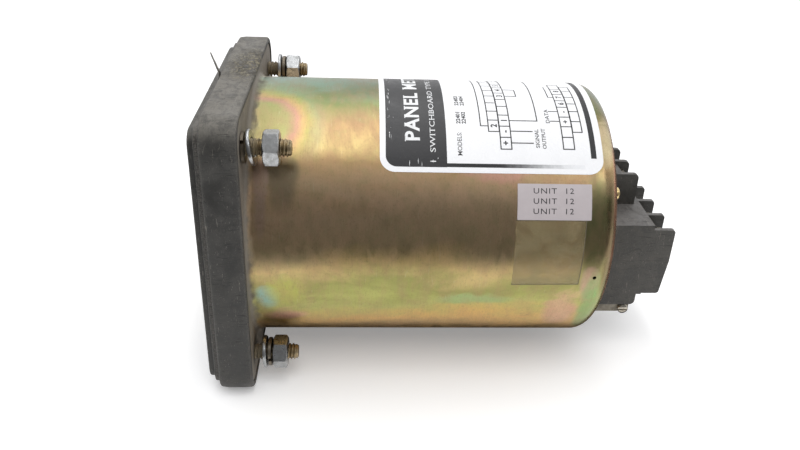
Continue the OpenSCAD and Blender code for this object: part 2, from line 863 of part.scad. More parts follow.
module at_zero_mark() {
    rotate([0, -sweep_deg / 2, 0]) children();
}

module pointer() {
    color("black") at_zero_mark() slab(pointer_y, pointer_y + pointer_t) difference() {
        union() {
            polygon([[-0.9, -9], [0.9, -9], [0.9, 24], [0.25, pointer_len - 1.5], [0, pointer_len],
                     [-0.25, pointer_len - 1.5], [-0.9, 24]]);
            circle(r = 2.4);
        }
        circle(r = staff_r + 0.02);
    }
}

// Steel staff with its collets and the two clips that hold the coil
module pointer_staff() {
    color("silver") at_zero_mark() {
        rod(0, 0, -9.3, 13.4, pivot_r);
        rod(0, 0, -8.8, 12.9, staff_r);
        rod(0, 0, -8.7, pointer_y, hub_r - 0.4);
        rod(0, 0, pointer_y + pointer_t, pointer_y + pointer_t + 1, hub_r);
        rod(0, 0, spring_rear_y, spring_rear_y + 0.5, 1.5);
        for (y = [coil_y0 - clip_t, coil_y1]) slab(y, y + clip_t) {
            circle(r = 1.6);
            translate([-coil_w / 2, 0]) square([coil_w, 7]);
        }
        slab(coil_y0 - clip_t, coil_y0) translate([-coil_w / 2, -weight_in_r])
            square([coil_w, weight_in_r]);
    }
}

module moving_coil() {
    color("peru") at_zero_mark() difference() {
        translate([-coil_w / 2, coil_y0, coil_in_r])
            cube([coil_w, coil_y1 - coil_y0, coil_out_r - coil_in_r]);
        translate([-coil_w, coil_y0 + coil_t, coil_in_r + coil_t])
            cube([2 * coil_w, coil_y1 - coil_y0 - 2 * coil_t, coil_out_r - coil_in_r - 2 * coil_t]);
    }
}

// The brass sector on the clip's tail balances the coil, and the small slug trims the pointer
module balance_weight() {
    color("gold") at_zero_mark() {
        slab(coil_y0 - clip_t - weight_t, coil_y0 - clip_t)
            ring_sector(weight_in_r - 2, weight_out_r, 245, 295);
        translate([0, pointer_y + pointer_t / 2, -9.02]) rotate([180, 0, 0]) cylinder(h = 4, r = 1);
    }
}

// ---- Dial ----------------------------------------------------------------------------------

module dial_plate() {
    color("white") slab(dial_y, dial_y + dial_t) difference() {
        circle(r = 45.2, $fn = 96);
        circle(r = 3.2);
        for (p = BRIDGE_POSTS) translate(p) circle(r = 2.6);
        for (p = DIAL_POSTS) translate(p) circle(r = 1.3);
        for (s = [-1, 1]) rotate(-s * (sweep_deg / 2 + stop_deg))
            translate([0, stop_r]) circle(r = 0.62);
    }
}

module dial_posts() {
    color("silver") for (p = DIAL_POSTS) difference() {
        union() {
            rod(p[0], p[1], dial_y + dial_t, chassis_y, 3);
            rod(p[0], p[1], chassis_y - 0.01, chassis_y + chassis_t + 1, 1.45);
        }
        rod(p[0], p[1], dial_y - CUT, 0.5, 1.3);
    }
}

module pointer_stops() {
    color("silver") for (s = [-1, 1]) rotate([0, s * (sweep_deg / 2 + stop_deg), 0])
        translate([0, dial_y + dial_t, stop_r]) rotate([90, 0, 0]) cylinder(h = 3, r = 0.6);
}

// ---- Assembly ------------------------------------------------------------------------------

bezel();
front_cover();
window();
window_gasket();
cover_screws();
seal_wire();
zero_adjuster();
adjuster_ring();
case_can();
mounting_flange();
mounting_studs();
small_nuts();
flat_washers();
lock_washers();
stud_nuts();
wiring_label();
id_sticker();
clear_tail();
terminal_block_upper();
terminal_block_lower();
terminal_contacts();
clamp_plates();
terminal_screws();
earth_tab();
earth_screw();
rear_screws();
tie_rods();
spacer_tubes();
chassis_plate();
power_board();
main_board();
transformer_core();
transformer_winding();
current_transformers();
primary_links();
capacitors();
logic_chips();
board_connectors();
ribbon_cable();
movement_leads();
movement_base();
movement_screws();
pole_ring();
core_ring();
magnet();
rear_bridge();
jewel_screws();
jewel_lock_nuts();
front_hairspring();
rear_hairspring();
bridge_posts();
front_bridge();
zero_lever();
pointer();
pointer_staff();
moving_coil();
balance_weight();
dial_plate();
dial_posts();
pointer_stops();
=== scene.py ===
"""Looks of the panel meter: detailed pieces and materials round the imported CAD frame."""
import math
import random

import bmesh
import bpy
from mathutils import Matrix, Vector, noise


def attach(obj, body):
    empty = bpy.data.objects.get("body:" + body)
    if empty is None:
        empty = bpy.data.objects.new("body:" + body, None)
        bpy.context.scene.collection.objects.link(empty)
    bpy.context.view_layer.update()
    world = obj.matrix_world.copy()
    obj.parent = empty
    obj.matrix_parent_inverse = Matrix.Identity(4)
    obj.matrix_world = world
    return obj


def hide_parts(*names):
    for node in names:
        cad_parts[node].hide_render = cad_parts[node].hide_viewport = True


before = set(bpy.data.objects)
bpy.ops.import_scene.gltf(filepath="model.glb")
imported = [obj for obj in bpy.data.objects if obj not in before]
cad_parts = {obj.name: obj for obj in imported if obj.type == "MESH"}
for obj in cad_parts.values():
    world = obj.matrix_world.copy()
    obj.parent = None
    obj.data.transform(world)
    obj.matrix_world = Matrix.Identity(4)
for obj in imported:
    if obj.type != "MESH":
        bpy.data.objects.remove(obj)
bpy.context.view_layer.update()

MM = 0.001               # shapes are drawn in millimetres and made in metres
LABEL_R = 50.93          # outer face of the labels on the barrel
DEGREE = LABEL_R * math.pi / 180
CASE = "case"

# ---- Sizes, in millimetres, as in the CAD -----------------------------------------------------
BARREL_R = 50.8
BARREL_LEN = 132.8
BARREL_WALL = 1.2
BARREL_EDGE_R = 7.0
FLANGE_HALF = 53.0
FLANGE_REAR = -0.4
FLANGE_FRONT = -1.9
FILLET_R = 2.5
BEZEL_HALF = 55.5
BEZEL_CORNER = 10.0
STUD_AT = 85.725 / 2
STUD_R = 3.175
STUD_PITCH = 1.27
STUD_END = 16.5
NUT_AF = 11.1
NUT_T = 5.6
# One row for each stud: side in X, side in Z, nut's front, washer's middle, washer's tilt,
# lock washer's front, nut's turn
STUDS = [
    (1, 1, 6.9, 2.95, 10.0, -0.35, 8.0),
    (-1, 1, 7.7, 4.9, 0.0, 5.9, 22.0),
    (1, -1, 6.9, 3.9, 3.0, 5.0, 0.0),
    (-1, -1, 7.2, 0.5, 0.0, 1.4, 15.0),
]


# ---- Mesh helpers -----------------------------------------------------------------------------
def make_piece(name, bm, slot, replaced=(), materials=None, body=CASE, sharp=35.0):
    """Turns a bmesh drawn in millimetres into a piece on a body, in its slot's material by default."""
    bmesh.ops.transform(bm, matrix=Matrix.Scale(MM, 4), verts=bm.verts)
    mesh = bpy.data.meshes.new(name)
    bm.to_mesh(mesh)
    bm.free()
    mesh.polygons.foreach_set("use_smooth", [True] * len(mesh.polygons))
    mesh.set_sharp_from_angle(angle=math.radians(sharp))
    obj = bpy.data.objects.new(name, mesh)
    bpy.context.scene.collection.objects.link(obj)
    for material in materials or [M[slot]]:
        mesh.materials.append(material)
    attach(obj, body)
    if replaced:
        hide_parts(*replaced)
    return obj


def loft(bm, rings, closed=False, material=0):
    """Skins a row of rings that all have the same number of points. Returns the new vertices."""
    loops = [[bm.verts.new(p) for p in ring] for ring in rings]
    pairs = list(zip(loops, loops[1:]))
    if closed:
        pairs.append((loops[-1], loops[0]))
    count = len(loops[0])
    for a, b in pairs:
        for i in range(count):
            j = (i + 1) % count
            bm.faces.new((a[i], a[j], b[j], b[i])).material_index = material
    return [v for loop in loops for v in loop]


def cap(bm, verts, count, material=0):
    """Closes the first and last ring of a loft."""
    bm.faces.new(list(reversed(verts[:count]))).material_index = material
    bm.faces.new(verts[-count:]).material_index = material


def turned(bm, profile, segments=48, closed=False, matrix=None, material=0):
    """A shape turned about the Y axis from (radius, y) points, then placed by a matrix."""
    rings = []
    for r, y in profile:
        steps = (2 * math.pi * i / segments for i in range(segments))
        rings.append([(r * math.cos(a), y, r * math.sin(a)) for a in steps])
    verts = loft(bm, rings, closed, material)
    if matrix is not None:
        bmesh.ops.transform(bm, matrix=matrix, verts=verts)
    return verts


def tidy(bm, merge=1e-4):
    """Joins points that meet and turns all faces outwards."""
    bmesh.ops.remove_doubles(bm, verts=bm.verts, dist=merge)
    bmesh.ops.recalc_face_normals(bm, faces=bm.faces)
    return bm


def box_mesh(bm, low, high, material=0):
    made = bmesh.ops.create_cube(bm, size=1.0)["verts"]
    size = [h - l for l, h in zip(low, high)]
    middle = [(l + h) / 2 for l, h in zip(low, high)]
    grow = Matrix.Translation(middle) @ Matrix.Diagonal((*size, 1.0))
    bmesh.ops.transform(bm, matrix=grow, verts=made)
    for face in {f for v in made for f in v.link_faces}:
        face.material_index = material
    return made


def arc_points(cr, cy, radius, start, stop, steps):
    """(radius, y) points on an arc round (cr, cy), angles in degrees from the radial axis."""
    angles = [math.radians(start + (stop - start) * i / steps) for i in range(steps + 1)]
    return [(cr + radius * math.cos(a), cy + radius * math.sin(a)) for a in angles]


def loose_object(bm):
    """A working object made from a bmesh, which is used up."""
    mesh = bpy.data.meshes.new("working")
    bm.to_mesh(mesh)
    bm.free()
    obj = bpy.data.objects.new("working", mesh)
    bpy.context.scene.collection.objects.link(obj)
    return obj


def discard(obj):
    mesh = obj.data
    bpy.data.objects.remove(obj)
    bpy.data.meshes.remove(mesh)


def take_away(obj, cutter):
    """Cuts one object's mesh out of another's."""
    modifier = obj.modifiers.new("cut", "BOOLEAN")
    modifier.operation = "DIFFERENCE"
    modifier.solver = "EXACT"
    modifier.object = cutter
    apply_modifiers(obj)


def subtract(obj, cutters):
    """Cuts closed meshes, drawn in millimetres, out of a piece."""
    for bm in cutters:
        tidy(bm)
        bmesh.ops.transform(bm, matrix=Matrix.Scale(MM, 4), verts=bm.verts)
        cutter = loose_object(bm)
        take_away(obj, cutter)
        discard(cutter)
    obj.data.set_sharp_from_angle(angle=math.radians(35))


def apply_modifiers(obj):
    graph = bpy.context.evaluated_depsgraph_get()
    made = bpy.data.meshes.new_from_object(obj.evaluated_get(graph), depsgraph=graph)
    old = obj.data
    obj.modifiers.clear()
    obj.data = made
    bpy.data.meshes.remove(old)
    made.name = obj.name


# ---- Outlines round the barrel's axis, as a radius for each direction -------------------------
def square_outline(half, corner):
    """A rounded square's distance from the axis, by direction."""
    def distance(a):
        c, s = abs(math.cos(a)), abs(math.sin(a))
        t = half / max(c, s)
        k = half - corner
        if t * c > k and t * s > k:
            b = k * (c + s)
            t = b + math.sqrt(max(0.0, b * b - 2 * k * k + corner * corner))
        return t
    return distance


def circle_outline(radius):
    return lambda a: radius


def d_outline(radius, chord):
    """A circle cut off flat below the axis."""
    def distance(a):
        down = -math.sin(a)
        return min(radius, chord / down) if down > 1e-6 else radius
    return distance


def directions(count, extra=()):
    steps = [2 * math.pi * i / count for i in range(count)]
    return sorted(set(steps) | {a % (2 * math.pi) for a in extra})


def outline_ring(outline, y, angles, jitter=None):
    ring = []
    for a in angles:
        r = outline(a) - (jitter(a, y) if jitter else 0.0)
        ring.append((r * math.cos(a), y, r * math.sin(a)))
    return ring


def wear(depth, scale, seed):
    """Small uneven loss along an edge, as a depth for each direction."""
    def at(a, y):
        spot = Vector((math.cos(a) * scale, y * 0.3 + seed, math.sin(a) * scale))
        return depth * max(0.0, noise.noise(spot)) * 2
    return at


# ---- Material helpers -------------------------------------------------------------------------
class Graph:
    """A material's node tree, with short calls for the nodes used here."""

    def __init__(self, name):
        self.material = bpy.data.materials.new(name)
        self.material.use_nodes = True
        self.tree = self.material.node_tree
        self.tree.nodes.clear()
        self.coords = self.add("ShaderNodeTexCoord").outputs["Object"]

    def add(self, kind, inputs=None, **settings):
        node = self.tree.nodes.new(kind)
        for key, value in settings.items():
            setattr(node, key, value)
        for key, value in (inputs or {}).items():
            if isinstance(value, bpy.types.NodeSocket):
                self.tree.links.new(value, node.inputs[key])
            else:
                node.inputs[key].default_value = value
        return node

    def stretch(self, x, y, z, vector=None):
        """The coordinates, in millimetres, scaled along each axis."""
        scaled = {"Vector": vector or self.coords, "Scale": (x / MM, y / MM, z / MM)}
        return self.add("ShaderNodeMapping", scaled).outputs[0]

    def noise(self, scale=1.0, vector=None, detail=4.0, roughness=0.55, warp=0.0):
        """Noise whose features are about 1/scale millimetres across."""
        inputs = {
            "Vector": vector or self.stretch(1, 1, 1),
            "Scale": scale,
            "Detail": detail,
            "Roughness": roughness,
            "Distortion": warp,
        }
        return self.add("ShaderNodeTexNoise", inputs).outputs["Fac"]

    def math(self, operation, a, b=0.0, clamp=False):
        node = self.add("ShaderNodeMath", {0: a, 1: b}, operation=operation, use_clamp=clamp)
        return node.outputs[0]

    def span(self, value, low, high, to_low=0.0, to_high=1.0):
        """Carries low..high to to_low..to_high, smoothly and without running past them."""
        inputs = {"Value": value, 1: low, 2: high, 3: to_low, 4: to_high}
        return self.add(
            "ShaderNodeMapRange", inputs, interpolation_type="SMOOTHSTEP"
        ).outputs[0]

    def ramp(self, value, stops, smooth=False):
        node = self.add("ShaderNodeValToRGB", {"Fac": value})
        node.color_ramp.interpolation = "EASE" if smooth else "LINEAR"
        elements = node.color_ramp.elements
        while len(elements) < len(stops):
            elements.new(0.5)
        for element, (place, colour) in zip(elements, stops):
            element.position = place
            element.color = colour
        return node.outputs["Color"]

    def mix(self, share, a, b, blend="MIX"):
        node = self.add(
            "ShaderNodeMix", {"Factor": share}, data_type="RGBA", blend_type=blend
        )
        for key, value in ((6, a), (7, b)):
            if isinstance(value, bpy.types.NodeSocket):
                self.tree.links.new(value, node.inputs[key])
            else:
                node.inputs[key].default_value = value
        return node.outputs[2]

    def axes(self):
        """The object's own X, Y and Z, in millimetres."""
        return self.add("ShaderNodeSeparateXYZ", {0: self.stretch(1, 1, 1)}).outputs

    def facing(self, axis):
        """How far the surface faces along one of the object's axes, from -1 to 1."""
        normal = self.add("ShaderNodeTexCoord").outputs["Normal"]
        return self.add("ShaderNodeSeparateXYZ", {0: normal}).outputs[axis]

    def worn_edges(self, low=0.52, high=0.62):
        pointiness = self.add("ShaderNodeNewGeometry").outputs["Pointiness"]
        return self.span(pointiness, low, high)

    def bump(self, height, depth, strength=1.0, under=None):
        """A bump of so many millimetres."""
        inputs = {"Height": height, "Distance": depth * MM, "Strength": strength}
        if under is not None:
            inputs["Normal"] = under
        return self.add("ShaderNodeBump", inputs).outputs[0]

    def finish(self, **inputs):
        named = {key.replace("_", " "): value for key, value in inputs.items()}
        shader = self.add("ShaderNodeBsdfPrincipled", named)
        self.add("ShaderNodeOutputMaterial", {"Surface": shader.outputs[0]})
        return self.material


def theta_node(g):
    """The angle round the barrel in degrees, from +X up towards +Z."""
    x, _, z = g.axes()
    turn = g.math("ARCTAN2", z, x)
    return g.math("MULTIPLY", turn, 180 / math.pi)


def around_barrel(g, along, around):
    """Coordinates scaled along the barrel and round it, with no seam, in millimetres."""
    return g.stretch(around, along, around)


# ---- Materials --------------------------------------------------------------------------------
# Colours that a passivated film takes as it thickens, in steps of 0.05
STRAW = (0.60, 0.45, 0.20)
GOLD = (0.70, 0.45, 0.15)
LIME = (0.45, 0.45, 0.15)
OLIVE = (0.30, 0.30, 0.10)
ROSE = (0.55, 0.40, 0.25)
TAN = (0.45, 0.35, 0.20)
BRONZE = (0.45, 0.30, 0.15)
MOSS = (0.20, 0.25, 0.10)
SEA = (0.25, 0.35, 0.25)
PEWTER = (0.40, 0.40, 0.30)

# Where each lies round the barrel: degrees from +X, colour
FILM_ROUND = [
    (-180, STRAW), (-160, LIME), (-145, STRAW), (-128, ROSE), (-105, LIME), (-75, BRONZE),
    (-50, BRONZE), (-32, GOLD), (-17, LIME), (-8, OLIVE), (1, STRAW), (10, TAN), (27, ROSE),
    (39, BRONZE), (47, STRAW), (60, BRONZE), (74, MOSS), (90, SEA), (108, PEWTER),
    (135, ROSE), (152, LIME), (168, ROSE), (180, STRAW),
]
# Stronger spots of film, and spots of painted highlight, painted reflection and painted shadow: degrees, mm
# along the barrel, half width in degrees, half length, colour
FILM_AND_PAINTED_LIGHT_SPOTS = [
    (101, 9, 13, 9, (0.24, 0.38, 0.33)),
    (93, 26, 11, 12, (0.22, 0.36, 0.26)),
    (-13, 6.5, 7, 5.5, (0.24, 0.42, 0.38)),
    (-24, 12, 7, 11, (0.80, 0.42, 0.35)),
    (-10, 13, 10, 9, (0.42, 0.42, 0.11)),
    # painted shadow of the near stud and its nut
    (35, 12.5, 10, 6, (0.24, 0.195, 0.13)),
    (28, 5, 14, 3, (0.46, 0.33, 0.26)),
    (-15, 82, 8, 16, (0.33, 0.44, 0.19)),
    (39, 88, 7, 14, (0.60, 0.34, 0.26)),
    # painted dark reflection on the rear rounded edge
    (12, 124.5, 30, 6, (0.20, 0.21, 0.09)),
    (-25, 116, 15, 8, (0.64, 0.39, 0.26)),
    (-8, 124, 10, 4, (0.50, 0.34, 0.24)),
    (-24, 126, 24, 4.5, (0.24, 0.38, 0.15)),
    # painted reflection of a bright thing behind the barrel, near the top
    (48, 112, 9, 14, (0.78, 0.74, 0.22)),
    # painted dark reflection on the rear rim
    (12, 129.5, 30, 2.4, (0.13, 0.11, 0.05)),
    # thin orange rim: film colour brightened into a painted highlight
    (0, 131.7, 90, 1.5, (0.88, 0.44, 0.27)),
    # painted highlight on the rear rim near the top
    (56, 128, 16, 4, (0.92, 0.80, 0.50)),
]


# Bow of film round the stud nearest the camera: share of 40 mm out from it, colour
FILM_BOW = [
    (0.0, (0.34, 0.32, 0.14, 1.0)), (0.2, (0.36, 0.38, 0.16, 1.0)), (0.33, (0.56, 0.30, 0.24, 1.0)),
    (0.42, (0.60, 0.40, 0.18, 1.0)), (0.52, (0.46, 0.44, 0.15, 1.0)), (0.68, (0.34, 0.42, 0.24, 1.0)),
    (1.0, (0.42, 0.40, 0.22, 1.0)),
]


# Film on the rear wall, by cloud
FILM_REAR = [
    (0.30, (0.60, 0.36, 0.22, 1.0)), (0.42, (0.62, 0.48, 0.18, 1.0)), (0.50, (0.42, 0.44, 0.15, 1.0)),
    (0.60, (0.56, 0.45, 0.20, 1.0)), (0.72, (0.46, 0.32, 0.20, 1.0)),
]


def zinc_material():
    """Passivated zinc on brushed steel: a thin film of colour that drifts over the sheet. Some spots in the
    colour are painted highlights, painted reflections and painted shadow, and part of the upper front is
    darkened with painted shade.
    """
    g = Graph("passivated_zinc")
    _, y, _ = g.axes()
    drift = g.noise(0.035, around_barrel(g, 0.5, 1.0), 5.0, 0.6, 0.6)
    theta = g.math("ADD", theta_node(g), g.span(drift, 0.3, 0.7, -6.0, 6.0))
    place = g.math("MULTIPLY_ADD", theta, 1 / 360)
    place.node.inputs[2].default_value = 0.5
    place = g.math("FRACT", place)
    stops = [((angle + 180) / 360, (*colour, 1.0)) for angle, colour in FILM_ROUND]
    film = g.ramp(place, stops)
    x, _, z = g.axes()
    out = g.math("POWER", g.math("ADD", g.math("MULTIPLY", x, x), g.math("MULTIPLY", z, z)), 0.5)
    wall = g.math("MULTIPLY", g.span(out, 36, 49, 1.0, 0.0), g.span(y, 60, 61))
    cloud = g.noise(0.028, None, 4.0, 0.55, 1.2)
    film = g.mix(wall, film, g.ramp(cloud, FILM_REAR, True))
    # Lay each spot over the colour: most are film, some are painted highlights, painted reflections and
    # painted shadow
    for angle, along, wide, long, colour in FILM_AND_PAINTED_LIGHT_SPOTS:
        across = g.math("DIVIDE", g.math("SUBTRACT", theta, angle), wide)
        down = g.math("DIVIDE", g.math("SUBTRACT", y, along), long)
        far = g.math("ADD", g.math("POWER", g.math("ABSOLUTE", across), 2.0),
                     g.math("POWER", g.math("ABSOLUTE", down), 2.0))
        wobble = g.math("ADD", far, g.span(drift, 0.3, 0.7, -0.35, 0.35))
        film = g.mix(g.span(wobble, 0.15, 1.1, 0.85, 0.0), film, (*colour, 1.0))
    along_arc = g.math("MULTIPLY", g.math("SUBTRACT", theta_node(g), 60.0), DEGREE)
    reach = g.add("ShaderNodeCombineXYZ", {0: along_arc, 1: y}).outputs[0]
    from_stud = g.add("ShaderNodeVectorMath", {0: reach, 1: (0.0, 1.0, 0.0)},
                      operation="DISTANCE").outputs["Value"]
    bow = g.ramp(g.span(g.math("ADD", from_stud, g.span(drift, 0.3, 0.7, -2.5, 2.5)), 0, 37),
                 FILM_BOW)
    upper = g.span(theta_node(g), 38, 56)
    bow_share = g.math("MULTIPLY", g.span(from_stud, 17, 30, 0.8, 0.0), upper)
    film = g.mix(bow_share, film, bow)
    shaded = g.math("MULTIPLY", upper, g.span(y, 14, 48, 0.0, 0.34))
    film = g.mix(shaded, film, (0.05, 0.03, 0.015, 1.0))
    mottle = g.noise(0.22, around_barrel(g, 1.0, 0.5), 8.0, 0.7, 0.4)
    film = g.mix(g.span(mottle, 0.38, 0.66, 0.0, 0.24), film, (0.50, 0.28, 0.20, 1.0))
    green = g.noise(0.3, around_barrel(g, 0.7, 0.8), 8.0, 0.72)
    film = g.mix(g.span(green, 0.46, 0.7, 0.0, 0.20), film, (0.26, 0.30, 0.12, 1.0))
    stain = g.span(g.noise(0.07, None, 10.0, 0.75, 0.8), 0.54, 0.70)
    film = g.mix(g.math("MULTIPLY", stain, 0.22), film, (0.20, 0.15, 0.08, 1.0))
    speck = g.span(g.noise(1.5, around_barrel(g, 1.0, 0.6), 5.0, 0.85), 0.50, 0.72)
    film = g.mix(g.math("MULTIPLY", speck, 0.45), film, (0.20, 0.155, 0.085, 1.0))
    brushed = g.noise(1.0, around_barrel(g, 5.0, 0.10), 4.0, 0.75)
    film = g.mix(g.span(brushed, 0.45, 0.72, 0.0, 0.22), film, (0.26, 0.20, 0.10, 1.0))
    scratch = g.span(g.noise(1.0, around_barrel(g, 2.2, 0.14), 2.0, 0.4, 1.5), 0.70, 0.73)
    film = g.mix(g.math("MULTIPLY", scratch, 0.16), film, (0.70, 0.66, 0.50, 1.0))
    grime = g.noise(0.10, None, 8.0, 0.6)
    dirty = g.math("ADD", y, g.span(grime, 0.3, 0.7, -1.6, 1.6))
    dirty = g.math("MULTIPLY", g.span(dirty, -0.2, 3.6, 0.92, 0.0), g.span(mottle, 0.2, 0.6, 0.8, 1))
    film = g.mix(dirty, film, g.mix(g.span(mottle, 0.35, 0.65), (0.175, 0.155, 0.122, 1.0),
                                    (0.105, 0.092, 0.073, 1.0)))
    gloss = g.math("ADD", g.span(mottle, 0.3, 0.7, 0.27, 0.40), g.span(brushed, 0.3, 0.7, 0, 0.06))
    gloss = g.math("ADD", gloss, g.math("MULTIPLY", dirty, 0.35), clamp=True)
    gloss = g.math("MULTIPLY", gloss, g.span(y, 124, 129, 1.0, 0.75))
    edge = g.math("MULTIPLY", g.span(out, 50.8, 51.8), g.span(y, 0.5, 2.5, 0.8, 0.0))
    film = g.mix(edge, film, (0.235, 0.212, 0.18, 1.0))
    dirty = g.math("MAXIMUM", dirty, edge)
    metal = g.math("SUBTRACT", 1.0, g.math("MULTIPLY", dirty, 0.8))
    crust = g.math("MULTIPLY", g.noise(0.8, None, 8.0, 0.75), dirty)
    height = g.bump(brushed, 0.004, 0.5, g.bump(mottle, 0.03, 0.5, g.bump(crust, 0.5, 0.6)))
    return g.finish(Base_Color=film, Metallic=metal, Roughness=gloss, Normal=height)


def phenolic_material(name, base=0.028, dust=0.5, pale=(0.30, 0.26, 0.20), gloss=0.55, speck=0.4, rub=0.9,
                      crust_at=None):
    """Old black moulding compound: dull, dusty on top, rubbed grey along its edges."""
    g = Graph(name)
    fine = g.noise(1.6, None, 6.0, 0.65)
    cloud = g.noise(0.09, None, 8.0, 0.7, 0.5)
    dark = (base * 0.95, base * 0.92, base * 0.83, 1.0)
    grey = (base * 2.1, base * 2.02, base * 1.82, 1.0)
    colour = g.mix(g.span(cloud, 0.35, 0.68), dark, grey)
    colour = g.mix(g.span(fine, 0.5, 0.75, 0.0, speck), colour, (0.15, 0.138, 0.118, 1.0))
    up = g.span(g.facing("Z"), 0.25, 0.95)
    blotch = g.noise(0.3, g.stretch(0.7, 1.0, 1.0), 10.0, 0.78, 0.6)
    lying = g.math("MULTIPLY", up, g.span(blotch, 0.36, 0.58, 0.25, 1.0))
    colour = g.mix(g.math("MULTIPLY", lying, dust), colour, (*pale, 1.0))
    rubbed = g.math("MULTIPLY", g.worn_edges(0.505, 0.56), g.span(fine, 0.4, 0.6, rub / 5, rub))
    colour = g.mix(rubbed, colour, (0.17, 0.155, 0.135, 1.0))
    height = g.bump(fine, 0.04, 0.6, g.bump(cloud, 0.2, 0.5))
    black = (base * 0.45, base * 0.43, base * 0.40, 1.0)
    for stretch, low, ink in (((0.10, 2.4, 0.55), 0.64, (0.25, 0.23, 0.20, 1.0)),
                              ((1.2, 0.13, 1.0), 0.59, black),
                              ((0.8, 0.9, 0.09), 0.66, (0.22, 0.20, 0.17, 1.0))):
        thin = g.noise(1.0, g.stretch(*stretch), 4.0, 0.6, 1.4)
        marks = g.math("MULTIPLY", g.span(thin, low, low + 0.03), g.span(cloud, 0.38, 0.52))
        colour = g.mix(g.math("MULTIPLY", marks, 0.6), colour, ink)
        height = g.bump(marks, -0.04, 0.6, height)
    nick = g.math("MULTIPLY", g.span(blotch, 0.63, 0.66), g.span(fine, 0.5, 0.6))
    colour = g.mix(g.math("MULTIPLY", nick, 0.7), colour, black)
    if crust_at:
        off = {0: g.stretch(0.5, 1.0, 1.0), 1: crust_at}
        far = g.add("ShaderNodeVectorMath", off, operation="DISTANCE").outputs["Value"]
        coarse = g.noise(0.55, None, 8.0, 0.75, 1.0)
        near = g.math("MULTIPLY", g.span(far, 4, 13, 1.0, 0.0), g.span(coarse, 0.42, 0.55))
        crust = g.mix(g.span(coarse, 0.48, 0.58), (0.028, 0.023, 0.016, 1.0), (0.27, 0.235, 0.15, 1.0))
        colour = g.mix(g.math("MULTIPLY", near, 0.85), colour, crust)
        height = g.bump(g.math("MULTIPLY", near, coarse), 0.9, 0.8, height)
    rough = g.span(cloud, 0.3, 0.7, gloss - 0.1, gloss + 0.18)
    return g.finish(Base_Color=colour, Roughness=rough, Normal=height)


def metal_material(name, colour, dull, gloss=0.3, brushed=0.0, tarnish=0.45, grain=2.0):
    """A metal that has gone dull in patches, with fine scratches."""
    g = Graph(name)
    patch = g.noise(0.35, None, 6.0, 0.65, 0.4)
    fine = g.noise(grain, None, 5.0, 0.6)
    shade = g.mix(g.span(patch, 0.38, 0.68, 0.0, tarnish), (*colour, 1.0), (*dull, 1.0))
    shade = g.mix(g.span(fine, 0.55, 0.8, 0.0, 0.4), shade, (*dull, 1.0))
    rough = g.span(patch, 0.3, 0.7, gloss - 0.06, gloss + 0.14)
    stretched = g.noise(1.0, g.stretch(0.3, 8.0, 0.3), 3.0, 0.6)
    normal = g.bump(fine, 0.012, 0.5)
    if brushed:
        normal = g.bump(stretched, 0.01, brushed, normal)
    return g.finish(Base_Color=shade, Metallic=1.0, Roughness=rough, Normal=normal)


def plain_material(name, colour, other, gloss=0.5, scale=0.5, depth=0.02, spots=0.5):
    """A paint, plastic or paper with soft variation of colour and a fine surface."""
    g = Graph(name)
    patch = g.noise(scale, None, 6.0, 0.6, 0.3)
    fine = g.noise(scale * 6, None, 4.0, 0.6)
    shade = g.mix(g.span(patch, 0.35, 0.7, 0.0, spots), (*colour, 1.0), (*other, 1.0))
    rough = g.span(patch, 0.3, 0.7, gloss - 0.08, gloss + 0.1)
    return g.finish(Base_Color=shade, Roughness=rough, Normal=g.bump(fine, depth, 0.5))


def ribbed_material(name, colour, groove, pitch, axis="Y", metallic=0.0, gloss=0.4):
    """Close windings or ribs along one axis."""
    g = Graph(name)
    wave = g.add(
        "ShaderNodeTexWave",
        {"Vector": g.stretch(1, 1, 1), "Scale": 0.314 / pitch, "Distortion": 0.4, "Detail": 1.0},
        bands_direction=axis,
    ).outputs["Fac"]
    patch = g.noise(0.5, None, 4.0, 0.6)
    shade = g.mix(g.span(wave, 0.1, 0.6), (*groove, 1.0), (*colour, 1.0))
    shade = g.mix(g.span(patch, 0.4, 0.7, 0.0, 0.3), shade, (*groove, 1.0))
    rough = g.span(patch, 0.3, 0.7, gloss, gloss + 0.15)
    normal = g.bump(wave, 0.15, 0.8)
    return g.finish(Base_Color=shade, Metallic=metallic, Roughness=rough, Normal=normal)


def clear_material(name, tint, gloss, film=0.0, speck=0.1, haze=(0.72, 0.70, 0.62)):
    """Glass or film seen through: clear straight on, glossy at a slant, a little dust."""
    g = Graph(name)
    smear = g.noise(0.12, None, 6.0, 0.65, 1.0)
    fine = g.noise(3.0, None, 4.0, 0.6)
    through = g.add("ShaderNodeBsdfTransparent", {"Color": (*tint, 1.0)})
    shine = g.add(
        "ShaderNodeBsdfGlossy",
        {"Color": (1.0, 1.0, 1.0, 1.0), "Roughness": g.span(smear, 0.3, 0.7, gloss, gloss + 0.08)},
    )
    edge = g.add("ShaderNodeFresnel", {"IOR": 1.45, "Normal": g.bump(smear, 0.02, 0.3)})
    leaving = g.add("ShaderNodeNewGeometry").outputs["Backfacing"]
    glint = g.math("MULTIPLY", edge.outputs[0], g.math("SUBTRACT", 1.0, leaving))
    clear = g.add("ShaderNodeMixShader", {0: glint, 1: through.outputs[0], 2: shine.outputs[0]})
    dust = g.add("ShaderNodeBsdfDiffuse", {"Color": (*haze, 1.0)})
    haze_share = g.span(smear, 0.35, 0.65, film * 0.7, film * 1.3)
    specks = g.math("MULTIPLY", g.span(fine, 0.5, 0.8, 0.0, speck), g.span(smear, 0.35, 0.65, 0.3, 1.0))
    share = g.math("ADD", haze_share, specks)
    mixed = g.add("ShaderNodeMixShader", {0: share, 1: clear.outputs[0], 2: dust.outputs[0]})
    g.add("ShaderNodeOutputMaterial", {"Surface": mixed.outputs[0]})
    return g.material


